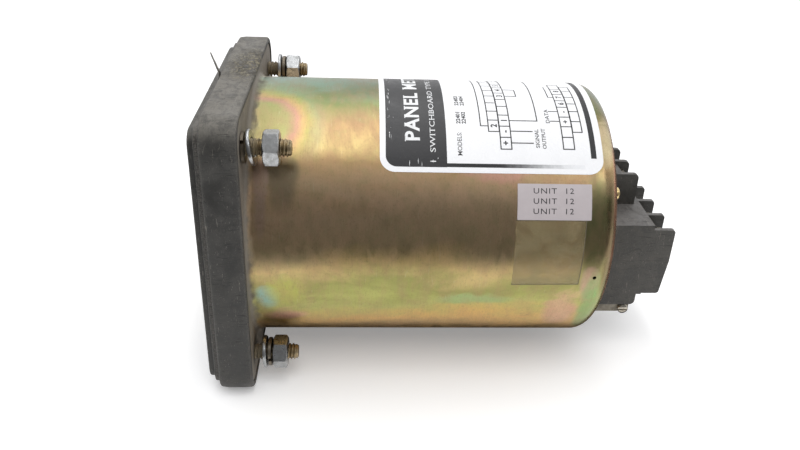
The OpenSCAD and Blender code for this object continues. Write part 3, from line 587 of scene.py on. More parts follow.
def print_material(name, ink, faded, wear_amount=0.25):
    """Printing ink, rubbed thin in places; in the black ink the lighter rubbed colour also stands in as
    painted sheen.
    """
    g = Graph(name)
    rub = g.noise(0.5, None, 8.0, 0.75, 0.5)
    fine = g.noise(4.0, None, 4.0, 0.6)
    shade = g.mix(g.span(rub, 0.5, 0.75, 0.0, wear_amount), (*ink, 1.0), (*faded, 1.0))
    rough = g.span(rub, 0.3, 0.7, 0.28, 0.45)
    return g.finish(Base_Color=shade, Roughness=rough, Specular_IOR_Level=0.34,
                    Normal=g.bump(fine, 0.004, 0.4))


def thread_material(name, colour, dark):
    """A screw thread's metal with grime left in it."""
    g = Graph(name)
    grime = g.noise(0.9, None, 5.0, 0.65)
    fine = g.noise(3.0, None, 4.0, 0.6)
    hollow = g.add("ShaderNodeNewGeometry").outputs["Pointiness"]
    dirty = g.math("MAXIMUM", g.span(hollow, 0.42, 0.5, 0.8, 0.0), g.span(grime, 0.5, 0.72, 0, 0.9))
    shade = g.mix(dirty, (*colour, 1.0), (*dark, 1.0))
    _, y, _ = g.axes()
    caked = g.math("MULTIPLY", g.span(y, 2.5, 6.5, 1.0, 0.0), g.span(grime, 0.35, 0.6, 0.4, 0.95))
    shade = g.mix(caked, shade, (0.16, 0.135, 0.095, 1.0))
    metal = g.math("SUBTRACT", 1.0, caked)
    rough = g.math("ADD", g.span(grime, 0.3, 0.7, 0.26, 0.5), g.math("MULTIPLY", caked, 0.3))
    height = g.bump(fine, 0.02, 0.5, g.bump(grime, 0.3, 0.4))
    return g.finish(Base_Color=shade, Metallic=metal, Roughness=rough, Normal=height)


BLACK = (0.012, 0.012, 0.013)
M = {
    "yellow_zinc": zinc_material(),
    "bezel_phenolic": phenolic_material("bezel_compound", 0.028, 0.66, (0.21, 0.195, 0.165),
                                        speck=0.13, rub=0.5, crust_at=(-4.0, -1.0, 55.5)),
    "cover_phenolic": phenolic_material("cover_compound", 0.022, 0.35, (0.21, 0.195, 0.165),
                                        speck=0.13, rub=0.5),
    "block_phenolic": phenolic_material("block_compound", 0.036, 0.55, (0.19, 0.182, 0.178), 0.55, 0.15, 0.1),
    "window_glass": clear_material("window_pane", (0.97, 0.985, 0.975), 0.02, 0.0, 0.05),
    "clear_film": clear_material("film", (0.97, 0.95, 0.92), 0.28, 0.17, 0.12, (0.44, 0.37, 0.20)),
    "gasket_rubber": plain_material("gasket", (0.03, 0.03, 0.03), (0.06, 0.06, 0.055), 0.7),
    "blackened_steel": metal_material("blackened", (0.09, 0.085, 0.08), (0.03, 0.03, 0.03), 0.42),
    "seal_wire_steel": metal_material("wire", (0.42, 0.40, 0.37), (0.16, 0.14, 0.12), 0.35),
    "adjuster_plastic": plain_material("adjuster", (0.02, 0.02, 0.02), (0.05, 0.05, 0.05), 0.4),
    "spring_steel": metal_material("spring", (0.50, 0.49, 0.47), (0.22, 0.20, 0.17), 0.3),
    "stud_brass": thread_material("stud", (0.40, 0.32, 0.20), (0.06, 0.048, 0.034)),
    "bright_zinc": metal_material("bright_zinc", (0.46, 0.47, 0.475), (0.20, 0.20, 0.195),
                                  0.28, 0.2, 0.6, 1.2),
    "dark_steel": metal_material("lock_steel", (0.22, 0.19, 0.15), (0.07, 0.06, 0.045), 0.42),
    "label_stock": plain_material("label", (0.88, 0.885, 0.90), (0.80, 0.81, 0.83), 0.26, 0.15, 0.004),
    "contact_brass": metal_material("contact", (0.72, 0.55, 0.26), (0.35, 0.24, 0.11), 0.3),
    "nickel_plate": metal_material("nickel", (0.52, 0.48, 0.41), (0.26, 0.23, 0.18), 0.26),
    "screw_brass": metal_material("screw_brass", (0.80, 0.62, 0.30), (0.45, 0.30, 0.13), 0.24),
    "dull_tab": metal_material("tab", (0.22, 0.20, 0.165), (0.10, 0.09, 0.07), 0.42),
    "spacer_alloy": metal_material("spacer", (0.70, 0.71, 0.72), (0.5, 0.5, 0.5), 0.35),
    "board_green": plain_material("board", (0.03, 0.13, 0.06), (0.02, 0.09, 0.05), 0.35, 0.3),
    "lamination_steel": ribbed_material(
        "laminations", (0.33, 0.33, 0.34), (0.10, 0.09, 0.08), 0.5, "Y", 0.9, 0.4),
    "winding_tape": ribbed_material("tape", (0.62, 0.47, 0.16), (0.40, 0.28, 0.10), 6.0, "Z"),
    "ring_tape": ribbed_material("ring_tape", (0.55, 0.42, 0.16), (0.34, 0.24, 0.09), 4.0, "Y"),
    "copper_wire": ribbed_material(
        "copper", (0.72, 0.34, 0.18), (0.30, 0.12, 0.06), 0.4, "X", 1.0, 0.25),
    "capacitor_sleeve": plain_material("sleeve", (0.03, 0.05, 0.16), (0.02, 0.03, 0.1), 0.3),
    "chip_black": plain_material("chip", (0.02, 0.02, 0.02), (0.045, 0.045, 0.045), 0.5, 1.0),
    "connector_ivory": plain_material("ivory", (0.72, 0.67, 0.52), (0.62, 0.56, 0.42), 0.4),
    "ribbon_grey": ribbed_material("ribbon", (0.42, 0.43, 0.45), (0.25, 0.26, 0.27), 1.27, "X"),
    "lead_red": plain_material("lead", (0.45, 0.03, 0.02), (0.30, 0.02, 0.02), 0.35),
    "base_alloy": metal_material("base", (0.62, 0.62, 0.61), (0.42, 0.41, 0.40), 0.42, 0.3),
    "soft_iron": metal_material("iron", (0.42, 0.41, 0.40), (0.22, 0.19, 0.16), 0.4),
    "magnet_alloy": metal_material("magnet", (0.30, 0.29, 0.28), (0.14, 0.12, 0.11), 0.5, 0.0, 0.6),
    "bridge_brass": metal_material("bridge", (0.80, 0.60, 0.28), (0.50, 0.34, 0.15), 0.3, 0.4),
    "spring_bronze": metal_material("bronze", (0.70, 0.46, 0.26), (0.42, 0.25, 0.14), 0.28),
    "pointer_black": plain_material("pointer_paint", BLACK, (0.03, 0.03, 0.03), 0.45, 1.5),
    "staff_steel": metal_material("staff", (0.60, 0.60, 0.60), (0.40, 0.39, 0.38), 0.2),
    "dial_white": plain_material("dial_paint", (0.80, 0.79, 0.74), (0.72, 0.70, 0.62), 0.5, 0.12, 0.004),
    # Black ink: its lighter faded patches are partly rubbed ink and partly painted sheen
    "black_print": print_material("black_ink", (0.028, 0.028, 0.03), (0.13, 0.13, 0.13)),
    "white_print": print_material("white_ink", (0.78, 0.79, 0.80), (0.40, 0.40, 0.41), 0.5),
    "red_print": print_material("red_ink", (0.50, 0.02, 0.015), (0.42, 0.08, 0.06)),
    "edge_dirt": plain_material("dirt", (0.09, 0.075, 0.05), (0.24, 0.20, 0.13), 0.7, 1.2),
    "sticker_stock": plain_material("sticker", (0.50, 0.455, 0.465), (0.45, 0.405, 0.415), 0.35, 0.2, 0.004),
}


# ---- Bezel and cover --------------------------------------------------------------------------
def rod(x, z, y0, y1, r, segments=32):
    """A plain cylinder along Y, for cutting holes."""
    bm = bmesh.new()
    place = Matrix.Translation((x, 0, z))
    turned(bm, [(0, y0), (r, y0), (r, y1), (0, y1)], segments, matrix=place)
    return tidy(bm)


def rounded_edge(half, corner, y_face, turn, radius, steps=4, worn=None, inner=False):
    """Rings for a rounded edge between a face at y_face and a square side, as (outline, y)."""
    rings = []
    for i in range(steps + 1):
        a = math.pi / 2 * i / steps
        inset = radius * (1 - math.sin(a))
        y = y_face + turn * radius * (1 - math.cos(a))
        grown = -inset if not inner else inset
        rings.append((square_outline(half + grown, max(0.5, corner + grown)), y, worn))
    return rings


def skin(rings, angles, closed=True):
    bm = bmesh.new()
    loft(bm, [outline_ring(outline, y, angles, worn) for outline, y, worn in rings], closed)
    return tidy(bm)


def face_rings(inner, outer, y):
    """Rings on a flat face, close to both its edges, so that wear keeps to the edges."""
    shares = (0.06, 0.35, 0.65, 0.94, 1.0)
    return [(lambda a, t=t: inner(a) * (1 - t) + outer(a) * t, y, None) for t in shares]


def bezel_shell():
    worn = wear(0.30, 9.0, 3.0)
    half, corner = BEZEL_HALF, BEZEL_CORNER
    rings = [(circle_outline(45.6), -12.3, None), (circle_outline(45.8), -12.5, None),
             (square_outline(half - 1.6, corner - 1.6), -12.5, None)]
    rings += rounded_edge(half, corner, -12.5, 1, 0.9, worn=worn)
    rings += [(square_outline(half, corner), y, wear(0.08, 14.0, y)) for y in (-9.5, -6.5, -3.5)]
    rings += reversed(rounded_edge(half, corner, 0, -1, 1.1, worn=worn))
    rings += rounded_edge(53.4, 8.4, 0, -1, 0.4, steps=2, inner=True)
    rings += [(square_outline(53.4, 8.4), -2.2, None), (circle_outline(49.6), -2.2, None),
              (circle_outline(49.6), -11.0, None), (circle_outline(45.6), -11.0, None)]
    corners = [math.atan2(s * (half - corner), c * half) for c in (-1, 1) for s in (-1, 1)]
    obj = make_piece("bezel_moulding", skin(rings, directions(360, corners)), "bezel_phenolic",
                     ["bezel"])
    cuts = []
    for side, up, *_ in STUDS:
        x, z = side * STUD_AT, up * STUD_AT
        cuts += [rod(x, z, -3.1, -1, 4.9), rod(x, z, -10, -3, 2.3), rod(x, z, -13.5, -9, 5.0)]
    cuts += [rod(x, z, -13.5, -5.5, 1.45) for x, z in COVER_SCREWS]
    subtract(obj, cuts)
    return obj


COVER_SCREWS = [(36, 46), (-36, 46), (36, -46), (-36, -46)]
ADJUSTER_Z = -40


def cover_shell():
    worn = wear(0.14, 8.0, 11.0)
    rings = [(d_outline(44.5, 33), -15, None), (d_outline(44.5, 33), -16.2, None),
             (d_outline(44.62, 33.12), -16.55, None), (d_outline(45.1, 33.6), -16.8, None),
             *face_rings(d_outline(45.1, 33.6), square_outline(49.6, 4.2), -16.8)]
    rings += rounded_edge(50.9, 5.5, -16.8, 1, 0.7, worn=worn)
    rings += [(square_outline(50.9, 5.5), -14.75, None), (square_outline(51.05, 5.6), -14.6, None)]
    rings += rounded_edge(52.5, 6, -14.6, 1, 0.6, worn=worn)
    rings += [(square_outline(52.5, 6), -12.5, None), (d_outline(47.5, 35.8), -12.5, None),
              (d_outline(47.5, 35.8), -15, None)]
    cut_off = [math.asin(h / r) for r, h in ((44.5, 33), (44.62, 33.12), (45.1, 33.6), (47.5, 35.8))]
    extra = [-a for a in cut_off] + [math.pi + a for a in cut_off]
    obj = make_piece("front_cover_moulding", skin(rings, directions(360, extra)), "cover_phenolic",
                     ["front_cover"])
    cuts = []
    for x, z in COVER_SCREWS:
        cuts += [rod(x, z, -18, -12, 1.7), rod(x, z, -18, -14.9, 3.1)]
    cuts += [rod(0, ADJUSTER_Z, -18, -12, 2.55), rod(0, ADJUSTER_Z, -18, -15.6, 4.6)]
    hole = rod(0, -13.55, 48, 60, 0.75)
    bmesh.ops.transform(hole, matrix=Matrix.Rotation(math.radians(90), 4, "X"), verts=hole.verts)
    cuts.append(hole)
    subtract(obj, cuts)
    return obj


bezel_shell()
cover_shell()


# ---- Barrel and flange ------------------------------------------------------------------------
NECK_Y = FLANGE_REAR + FILLET_R
RODS = [(33, 22.5), (-33, 22.5), (27.5, -30.2), (-27.5, -30.2)]
BLOCK_MIDDLE = -11.5


def block_openings():
    """The two holes in the barrel's rear wall that the terminal blocks pass through."""
    cuts = []
    for flip in (1, -1):
        for x0, x1, z0, z1 in ((-24.8, 22.5, -9.8, 2.8), (-17.2, 4.8, 1.0, 16.3)):
            if flip < 0:
                z0, z1 = 2 * BLOCK_MIDDLE - z1, 2 * BLOCK_MIDDLE - z0
            bm = bmesh.new()
            box_mesh(bm, (x0, 130, z0), (x1, 134, z1))
            cuts.append(bm)
    return cuts


def barrel_shell():
    """The barrel as drawn sheet: nearly straight, with the small unevenness of real sheet."""
    y0 = NECK_Y + 0.02
    profile = [(BARREL_R, y0 + (BARREL_LEN - BARREL_EDGE_R - y0) * i / 40) for i in range(41)]
    edge_y = BARREL_LEN - BARREL_EDGE_R
    flat_r = BARREL_R - BARREL_EDGE_R
    profile += arc_points(flat_r, edge_y, BARREL_EDGE_R, 0, 90, 14)[1:]
    profile += [(flat_r * f, BARREL_LEN) for f in (0.8, 0.5, 0.2, 0)]
    profile += [(0, BARREL_LEN - BARREL_WALL), (flat_r, BARREL_LEN - BARREL_WALL)]
    inner_edge = BARREL_EDGE_R - BARREL_WALL
    profile += arc_points(flat_r, edge_y, inner_edge, 90, 0, 8)[1:]
    profile += [(BARREL_R - BARREL_WALL, y0)]
    bm = bmesh.new()
    turned(bm, profile, 192, closed=True)
    tidy(bm)
    for v in bm.verts:
        out = Vector((v.co.x, 0, v.co.z))
        if out.length > 50.5 and v.co.y > 8:
            dent = noise.noise(Vector((v.co.x * 0.05, v.co.y * 0.03, v.co.z * 0.05)))
            v.co -= out.normalized() * 0.05 * max(0.0, dent)
    obj = make_piece("barrel_sheet", bm, "yellow_zinc", ["case_can"])
    cuts = block_openings() + [rod(x, z, 130, 134, 1.7) for x, z in RODS]
    hole = rod(0, 0, 48, 53, 0.7)
    turn = Matrix.Translation((0, 125.3, 0)) @ Matrix.Rotation(math.radians(3.75), 4, "Y")
    turn = turn @ Matrix.Rotation(math.radians(-90), 4, "Z")
    bmesh.ops.transform(hole, matrix=turn, verts=hole.verts)
    subtract(obj, cuts + [hole])
    return obj


def flange_plate():
    foot = BARREL_R + FILLET_R
    worn = wear(0.12, 12.0, 7.0)
    plate = square_outline(FLANGE_HALF - 0.25, 7.75)
    rings = [(circle_outline(49.6), FLANGE_FRONT, None)]
    rings += rounded_edge(FLANGE_HALF, 8, FLANGE_FRONT, 1, 0.3, 2, worn)
    rings += reversed(rounded_edge(FLANGE_HALF, 8, FLANGE_REAR, -1, 0.3, 2, worn))
    foot_ring = circle_outline(foot)
    rings.append((lambda a: min(foot_ring(a), plate(a) - 0.02), FLANGE_REAR, None))
    for r, y in arc_points(foot, NECK_Y, FILLET_R, 270, 180, 8)[1:]:
        rings.append((lambda a, r=r: min(r, plate(a) - 0.02), y, None))
    rings.append((circle_outline(49.6), NECK_Y, None))
    obj = make_piece("flange_plate", skin(rings, directions(360)), "yellow_zinc",
                     ["mounting_flange"])
    subtract(obj, [rod(s * STUD_AT, u * STUD_AT, -3, 1, 2.95) for s, u, *_ in STUDS])
    return obj


barrel_shell()
flange_plate()


# ---- Studs, nuts and washers ------------------------------------------------------------------
def thread(bm, y0, y1, crest, root, pitch=STUD_PITCH, steps=10, around=40):
    """A screw thread's surface from y0 to y1 about the Y axis, fading out at both ends."""
    count = int((y1 - y0) / pitch * steps)
    rings = []
    for i in range(count + 1):
        y = y0 + (y1 - y0) * i / count
        ends = min(1.0, (y1 - y) / (0.7 * pitch), (y - y0) / (0.7 * pitch))
        ring = []
        for k in range(around):
            a = 2 * math.pi * k / around
            saw = abs(2 * ((y / pitch - k / around) % 1.0) - 1)
            r = root + (crest - root) * min(1.0, max(0.0, 1.3 * saw - 0.15)) * max(0.0, ends)
            ring.append((r * math.cos(a), y, r * math.sin(a)))
        rings.append(ring)
    verts = loft(bm, rings)
    cap(bm, verts, around)
    return verts


def hex_outline(across, turn):
    """A hexagon's distance from its axis, by direction. turn is in degrees."""
    def distance(a):
        step = math.pi / 3
        off = (a - math.radians(turn)) % step - step / 2
        return across / 2 / math.cos(off)
    return distance


def hex_nut(bm, x, z, y0, y1, across, hole, turn):
    """A nut with both faces turned off to a cone, and a countersunk hole."""
    sides = hex_outline(across, turn)
    step = math.pi / 3
    extra = [math.radians(turn) + step * k for k in range(6)]
    extra += [math.radians(turn) + step * (k + 0.5) for k in range(6)]
    rings = []
    face = across / 2 * 0.955
    heights = [0, 0.12, 0.25, 0.4, 0.6, 0.85]

    def turned_off(h):
        return lambda a: min(sides(a), face + h * 1.75)

    for h in heights:
        rings.append((turned_off(h), y0 + h, None))
    for h in reversed(heights):
        rings.append((turned_off(h), y1 - h, None))
    rings += [(circle_outline(hole + 0.45), y1, None), (circle_outline(hole), y1 - 0.45, None),
              (circle_outline(hole), y0 + 0.45, None), (circle_outline(hole + 0.45), y0, None)]
    part = skin(rings, directions(96, extra))
    join_mesh(bm, part, Matrix.Translation((x, 0, z)))


def join_mesh(bm, part, matrix):
    """Adds a bmesh to another, placed by a matrix, and frees it."""
    bmesh.ops.transform(part, matrix=matrix, verts=part.verts)
    mesh = bpy.data.meshes.new("part")
    part.to_mesh(mesh)
    part.free()
    bm.from_mesh(mesh)
    bpy.data.meshes.remove(mesh)


def stud_meshes():
    bm = bmesh.new()
    for side, up, *_ in STUDS:
        part = bmesh.new()
        thread(part, NECK_Y - 4.5, STUD_END - 0.6, STUD_R - 0.03, STUD_R - 0.62)
        turned(part, [(0, STUD_END - 0.7), (2.75, STUD_END - 0.7), (2.3, STUD_END - 0.05),
                      (0, STUD_END)], 40)
        turned(part, [(0, -3), (4.3, -3), (4.6, -2.7), (4.6, -1.95), (0, -1.95)], 48)
        thread(part, -12.0, -2.9, 1.98, 1.6, 0.8, 8, 24)
        tidy(part)
        join_mesh(bm, part, Matrix.Translation((side * STUD_AT, 0, up * STUD_AT)))
    make_piece("stud_threads", bm, "stud_brass", ["mounting_studs"])


def flat_washer(bm, r_in, r_out, thick, matrix):
    e = 0.18
    half = thick / 2
    profile = [(r_in + e, -half), (r_out - 2 * e, -half), (r_out - 0.4 * e, -half + 0.6 * e),
               (r_out, 0), (r_out - 0.15, half - e), (r_out - 0.15 - e, half), (r_in + e, half),
               (r_in, half - e), (r_in, -half + e)]
    turned(bm, profile, 72, closed=True, matrix=matrix)


def lock_washer(bm, r_in, r_out, thick, lift, matrix, gap=14):
    """A split spring washer: one turn of a square wire whose ends stand apart."""
    rings = []
    steps = 64
    for i in range(steps + 1):
        share = i / steps
        a = math.radians(gap / 2 + (360 - gap) * share)
        shift = lift * (share - 0.5)
        c, s = math.cos(a), math.sin(a)
        low, high, e = shift - thick / 2, shift + thick / 2, 0.12
        section = [(r_in + e, low), (r_out - e, low), (r_out, low + e), (r_out, high - e),
                   (r_out - e, high), (r_in + e, high), (r_in, high - e), (r_in, low + e)]
        rings.append([(r * c, y, r * s) for r, y in section])
    verts = loft(bm, rings)
    cap(bm, verts, 8)
    bmesh.ops.transform(bm, matrix=matrix, verts=verts)


def hardware():
    nuts, flats, locks = bmesh.new(), bmesh.new(), bmesh.new()
    for side, up, nut_y, flat_y, tilt, lock_y, turn in STUDS:
        x, z = side * STUD_AT, up * STUD_AT
        hex_nut(nuts, x, z, nut_y, nut_y + NUT_T, NUT_AF, STUD_R - 0.25, turn)
        lean = Matrix.Rotation(math.radians(tilt), 4, "X")
        flat_washer(flats, 3.5, 6.3, 1.2, Matrix.Translation((x, flat_y, z)) @ lean)
        spin = Matrix.Rotation(math.radians(40 * turn), 4, "Y")
        place = Matrix.Translation((x, lock_y + 0.75, z)) @ spin
        lock_washer(locks, 3.3, 5.5, 1.2, 0.28, place)
    for bm in (nuts, flats, locks):
        tidy(bm)
    make_piece("stud_nut_set", nuts, "bright_zinc", ["stud_nuts"])
    make_piece("flat_washer_set", flats, "bright_zinc", ["flat_washers"])
    make_piece("lock_washer_set", locks, "dark_steel", ["lock_washers"])


stud_meshes()
hardware()


# ---- Screws, wire and adjuster ----------------------------------------------------------------
def slotted_head(bm, head_r, dome, edge, slot_w, slot_d, matrix, segments=40):
    """A slotted pan head about Y, seated at 0 and rising to +dome."""
    profile = [(0, 0), (head_r - 0.15, 0), (head_r, 0.15), (head_r, edge)]
    for i in range(1, 9):
        a = math.pi / 2 * i / 8
        profile.append((head_r * math.cos(a), edge + (dome - edge) * math.sin(a)))
    head = bmesh.new()
    turned(head, profile, segments)
    tidy(head)
    slot = bmesh.new()
    box_mesh(slot, (-head_r - 1, dome - slot_d, -slot_w / 2), (head_r + 1, dome + 1, slot_w / 2))
    cut = cut_mesh(head, slot)
    join_mesh(bm, cut, matrix)


def cut_mesh(body, cutter):
    """Takes one closed bmesh from another and returns the rest as a bmesh."""
    objs = [loose_object(body), loose_object(cutter)]
    take_away(*objs)
    rest = bmesh.new()
    rest.from_mesh(objs[0].data)
    for obj in objs:
        discard(obj)
    return rest


def along(x, y, z, spin=0.0, back=False):
    """Places a part drawn about Y: at a point, turned about Y, facing front if back is set."""
    matrix = Matrix.Translation((x, y, z))
    if back:
        matrix = matrix @ Matrix.Rotation(math.pi, 4, "X")
    return matrix @ Matrix.Rotation(math.radians(spin), 4, "Y")


SHANK_STEPS = 8
WAY_PITCH = 12.7
LONG_WAYS = [(25 - 1 - WAY_PITCH * (i + 0.5), -4.4, 155.3) for i in range(4)]
SHORT_WAYS = [(6.5 - 1 - WAY_PITCH * (i + 0.5), 11.0, 147.0) for i in range(2)]


def add_shank(bm, y0, y1, crest, root, pitch, around, place):
    """Adds a small screw's threaded shank."""
    part = bmesh.new()
    thread(part, y0, y1, crest, root, pitch, SHANK_STEPS, around)
    join_mesh(bm, part, place)


def terminal_screw_set():
    bm = bmesh.new()
    spins = random.Random(4)
    for flip in (1, -1):
        for x, z, seat in LONG_WAYS + SHORT_WAYS:
            if flip < 0:
                z = 2 * BLOCK_MIDDLE - z
            long_way = seat > 150
            under = seat + (4 if long_way else 2.2)
            dome = 3.2 if long_way else 2.6
            place = along(x, under, z, spins.uniform(-50, 50))
            slotted_head(bm, 3.9, dome, dome * 0.45, 1.0, dome * 0.45, place)
            add_shank(bm, seat - 8, under + 0.05, 1.98, 1.6, 0.8, 24, Matrix.Translation((x, 0, z)))
    make_piece("terminal_screw_set", bm, "nickel_plate", ["terminal_screws"])


def small_screws():
    bm = bmesh.new()
    for i, (x, z) in enumerate(RODS):
        seat = BARREL_LEN + (1.1 if i == 2 else 0)
        slotted_head(bm, 2.4, 2.6, 1.3, 0.8, 0.7, along(x, seat, z, 25 + 40 * i))
        add_shank(bm, 125, seat + 0.05, 1.38, 1.1, 0.7, 20, Matrix.Translation((x, 0, z)))
    make_piece("rear_screw_set", bm, "screw_brass", ["rear_screws"])
    bm = bmesh.new()
    for i, (x, z) in enumerate(COVER_SCREWS):
        place = along(x, -14.9, z, 15 + 55 * i, back=True)
        slotted_head(bm, 2.8, 1.7, 0.9, 0.8, 0.7, place)
        add_shank(bm, -14.95, -6.5, 1.38, 1.1, 0.7, 20, Matrix.Translation((x, 0, z)))
    make_piece("cover_screw_set", bm, "blackened_steel", ["cover_screws"])
    bm = bmesh.new()
    place = Matrix.Translation((22.1, 149.8, -36.1)) @ Matrix.Rotation(math.radians(-90), 4, "Z")
    slotted_head(bm, 2.2, 1.9, 1.0, 0.7, 0.7, place)
    add_shank(bm, -6.1, 0.05, 1.28, 1.0, 0.7, 20, place)
    make_piece("earth_screw_piece", bm, "nickel_plate", ["earth_screw"])


def wire_loop():
    """The cut end of the sealing wire that stands out of the cover's top edge."""
    path = [(0, -13.55, 49.2), (0, -13.55, 52.5), (0, -13.6, 54.8), (0.05, -14.3, 56.6),
            (0.0, -15.0, 58.6), (-0.1, -15.7, 60.4), (0, -16.25, 62.2)]
    bm = bmesh.new()
    rings = []
    points = [Vector(p) for p in path]
    for i, p in enumerate(points):
        ahead = points[min(i + 1, len(points) - 1)] - points[max(i - 1, 0)]
        side = ahead.cross(Vector((1, 0, 0))).normalized()
        out = side.cross(ahead).normalized()
        r = 0.6 if i < 3 else 0.6 - 0.3 * (i - 2) / 4
        ring = []
        for k in range(16):
            a = 2 * math.pi * k / 16
            ring.append(p + r * (math.cos(a) * out + 0.8 * math.sin(a) * side))
        rings.append(ring)
    verts = loft(bm, rings)
    cap(bm, verts, 16)
    tidy(bm)
    make_piece("seal_wire_end", bm, "seal_wire_steel", ["seal_wire"])


def adjuster():
    bm = bmesh.new()
    place = along(0, -15.7, ADJUSTER_Z, 0, back=True)
    slotted_head(bm, 4.2, 0.9, 0.55, 1.2, 0.62, place, 56)
    turned(bm, [(0, -15.75), (2.5, -15.75), (2.5, -11.4), (0, -11.4)], 40,
           matrix=Matrix.Translation((0, 0, ADJUSTER_Z)))
    turned(bm, [(0, -11.45), (0.8, -11.45), (0.8, -10.25), (0.65, -10.1), (0, -10.1)], 20,
           matrix=Matrix.Translation((0, 0, ADJUSTER_Z + 1.5)))
    tidy(bm)
    make_piece("zero_adjuster_knob", bm, "adjuster_plastic", ["zero_adjuster"],
               body="adjuster_group")


terminal_screw_set()
small_screws()
wire_loop()
adjuster()


# ---- Labels wrapped round the barrel ----------------------------------------------------------
def flat_shape(outlines, material=0, bm=None):
    """A flat mesh in the XY plane from outlines of (x, y) points."""
    bm = bm or bmesh.new()
    for outline in outlines:
        face = bm.faces.new([bm.verts.new((x, y, 0)) for x, y in outline])
        face.material_index = material
    return bm


def rounded_rectangle(x0, y0, x1, y1, radii, steps=8):
    """Corner radii go round from (x0, y0) to (x1, y0), (x1, y1) and (x0, y1)."""
    corners = ((x0, y0, 180), (x1, y0, 270), (x1, y1, 0), (x0, y1, 90))
    points = []
    for (x, y, start), r in zip(corners, radii):
        cx = x + r if x == x0 else x - r
        cy = y + r if y == y0 else y - r
        for i in range(steps + 1 if r > 0 else 1):
            a = math.radians(start + 90 * i / steps)
            points.append((cx + r * math.cos(a), cy + r * math.sin(a)))
    return points


def bar(x0, y0, x1, y1):
    return [(x0, y0), (x1, y0), (x1, y1), (x0, y1)]


def line(x0, y0, x1, y1, width=0.35):
    """A thin straight line as an outline."""
    ahead = Vector((x1 - x0, y1 - y0)).normalized() * width / 2
    side = Vector((-ahead.y, ahead.x))
    a, b = Vector((x0, y0)) - ahead, Vector((x1, y1)) + ahead
    return [tuple(p) for p in (a - side, b - side, b + side, a + side)]


def frame_lines(x0, y0, x1, y1, width=0.35):
    return [line(x0, y0, x1, y0, width), line(x1, y0, x1, y1, width),
            line(x1, y1, x0, y1, width), line(x0, y1, x0, y0, width)]


def add_serifs(bm, reach=0.055, thick=0.05):
    """Puts feet and caps on the upright strokes of plain capitals."""
    top = max(v.co.y for v in bm.verts)
    ends = []
    for edge in bm.edges:
        a, b = (v.co for v in edge.verts)
        level = abs(a.y - b.y) < 1e-3 and (abs(a.y) < 0.02 or abs(a.y - top) < 0.02)
        if edge.is_boundary and level and 0.05 < abs(a.x - b.x) < 0.26:
            ends.append((min(a.x, b.x), max(a.x, b.x), a.y < 0.1, a.y))
    for x0, x1, foot, y in ends:
        y1 = y + thick if foot else y - thick
        flat_shape([bar(x0 - reach, min(y, y1), x1 + reach, max(y, y1))], bm=bm)


def text_mesh(words, height, width=None, bold=0.0, centre=False, spacing=1.0, serif=False):
    """Words as a flat bmesh: base line at y 0, capitals of the given height."""
    curve = bpy.data.curves.new("words", "FONT")
    curve.body = words
    curve.size = 1.0
    curve.offset = bold
    curve.space_character = spacing
    curve.resolution_u = 3
    obj = bpy.data.objects.new("words", curve)
    bpy.context.scene.collection.objects.link(obj)
    graph = bpy.context.evaluated_depsgraph_get()
    mesh = bpy.data.meshes.new_from_object(obj.evaluated_get(graph))
    bm = bmesh.new()
    bm.from_mesh(mesh)
    bpy.data.objects.remove(obj)
    bpy.data.curves.remove(curve)
    bpy.data.meshes.remove(mesh)
    if serif:
        add_serifs(bm)
    low = min(v.co.x for v in bm.verts)
    high = max(v.co.x for v in bm.verts)
    top = 0.73
    tall = height / top
    wide = width / (high - low) if width else tall
    shift = (low + high) / 2 if centre else low
    for v in bm.verts:
        v.co = Vector(((v.co.x - shift) * wide, v.co.y * tall, 0))
    return bm


def add_flat(bm, part, place, material=0):
    """Adds a flat part to a flat bmesh, with every point carried by place(x, y)."""
    for v in part.verts:
        x, y = place(v.co.x, v.co.y)
        v.co = Vector((x, y, 0))
    for face in part.faces:
        face.material_index = material
    join_mesh(bm, part, Matrix.Identity(4))


def wrap_round(bm, radius, step=1.6):
    """Carries flat (u, v) points, as length round the barrel and along it, on to the barrel."""
    bmesh.ops.triangulate(bm, faces=bm.faces)
    us = [v.co.x for v in bm.verts]
    u = math.ceil(min(us) / step) * step
    while u < max(us):
        geometry = bm.verts[:] + bm.edges[:] + bm.faces[:]
        bmesh.ops.bisect_plane(bm, geom=geometry, plane_co=(u, 0, 0), plane_no=(1, 0, 0))
        u += step
    for v in bm.verts:
        a = v.co.x / LABEL_R
        v.co = Vector((radius * math.cos(a), v.co.y, radius * math.sin(a)))
    for face in bm.faces:
        middle = face.calc_center_median()
        if face.normal.dot(Vector((middle.x, 0, middle.z))) == 0:
            face.normal_update()
    bm.normal_update()
    for face in bm.faces:
        middle = face.calc_center_median()
        if face.normal.dot(Vector((middle.x, 0, middle.z))) < 0:
            face.normal_flip()


def settle_order(bm):
    """Sorts a mesh by place, because the order an extrusion leaves changes from run to run."""
    weights = Vector((1.0, 37.0, 1369.0))
    bm.verts.sort(key=lambda v: v.co.dot(weights))
    bm.edges.sort(key=lambda e: (e.verts[0].co + e.verts[1].co).dot(weights))
    bm.faces.sort(key=lambda f: f.calc_center_median().dot(weights))
    for row in (bm.verts, bm.edges, bm.faces):
        row.index_update()


def sheet_round(name, outline, material, slot, replaced, r_in=50.84):
    """A thin sheet of its own thickness stuck round the barrel."""
    bm = flat_shape([outline])
    wrap_round(bm, r_in)
    made = bmesh.ops.extrude_face_region(bm, geom=bm.faces[:])["geom"]
    for v in made:
        if isinstance(v, bmesh.types.BMVert):
            v.co = Vector((v.co.x * LABEL_R / r_in, v.co.y, v.co.z * LABEL_R / r_in))
    settle_order(bm)
    tidy(bm)
    return make_piece(name, bm, slot, replaced, materials=[material])


def deg(angle):
    return angle * DEGREE


def upward(u0, v0):
    """Placing for words that read round the barrel, with their tops towards the front."""
    return lambda x, y: (u0 + x, v0 - y)


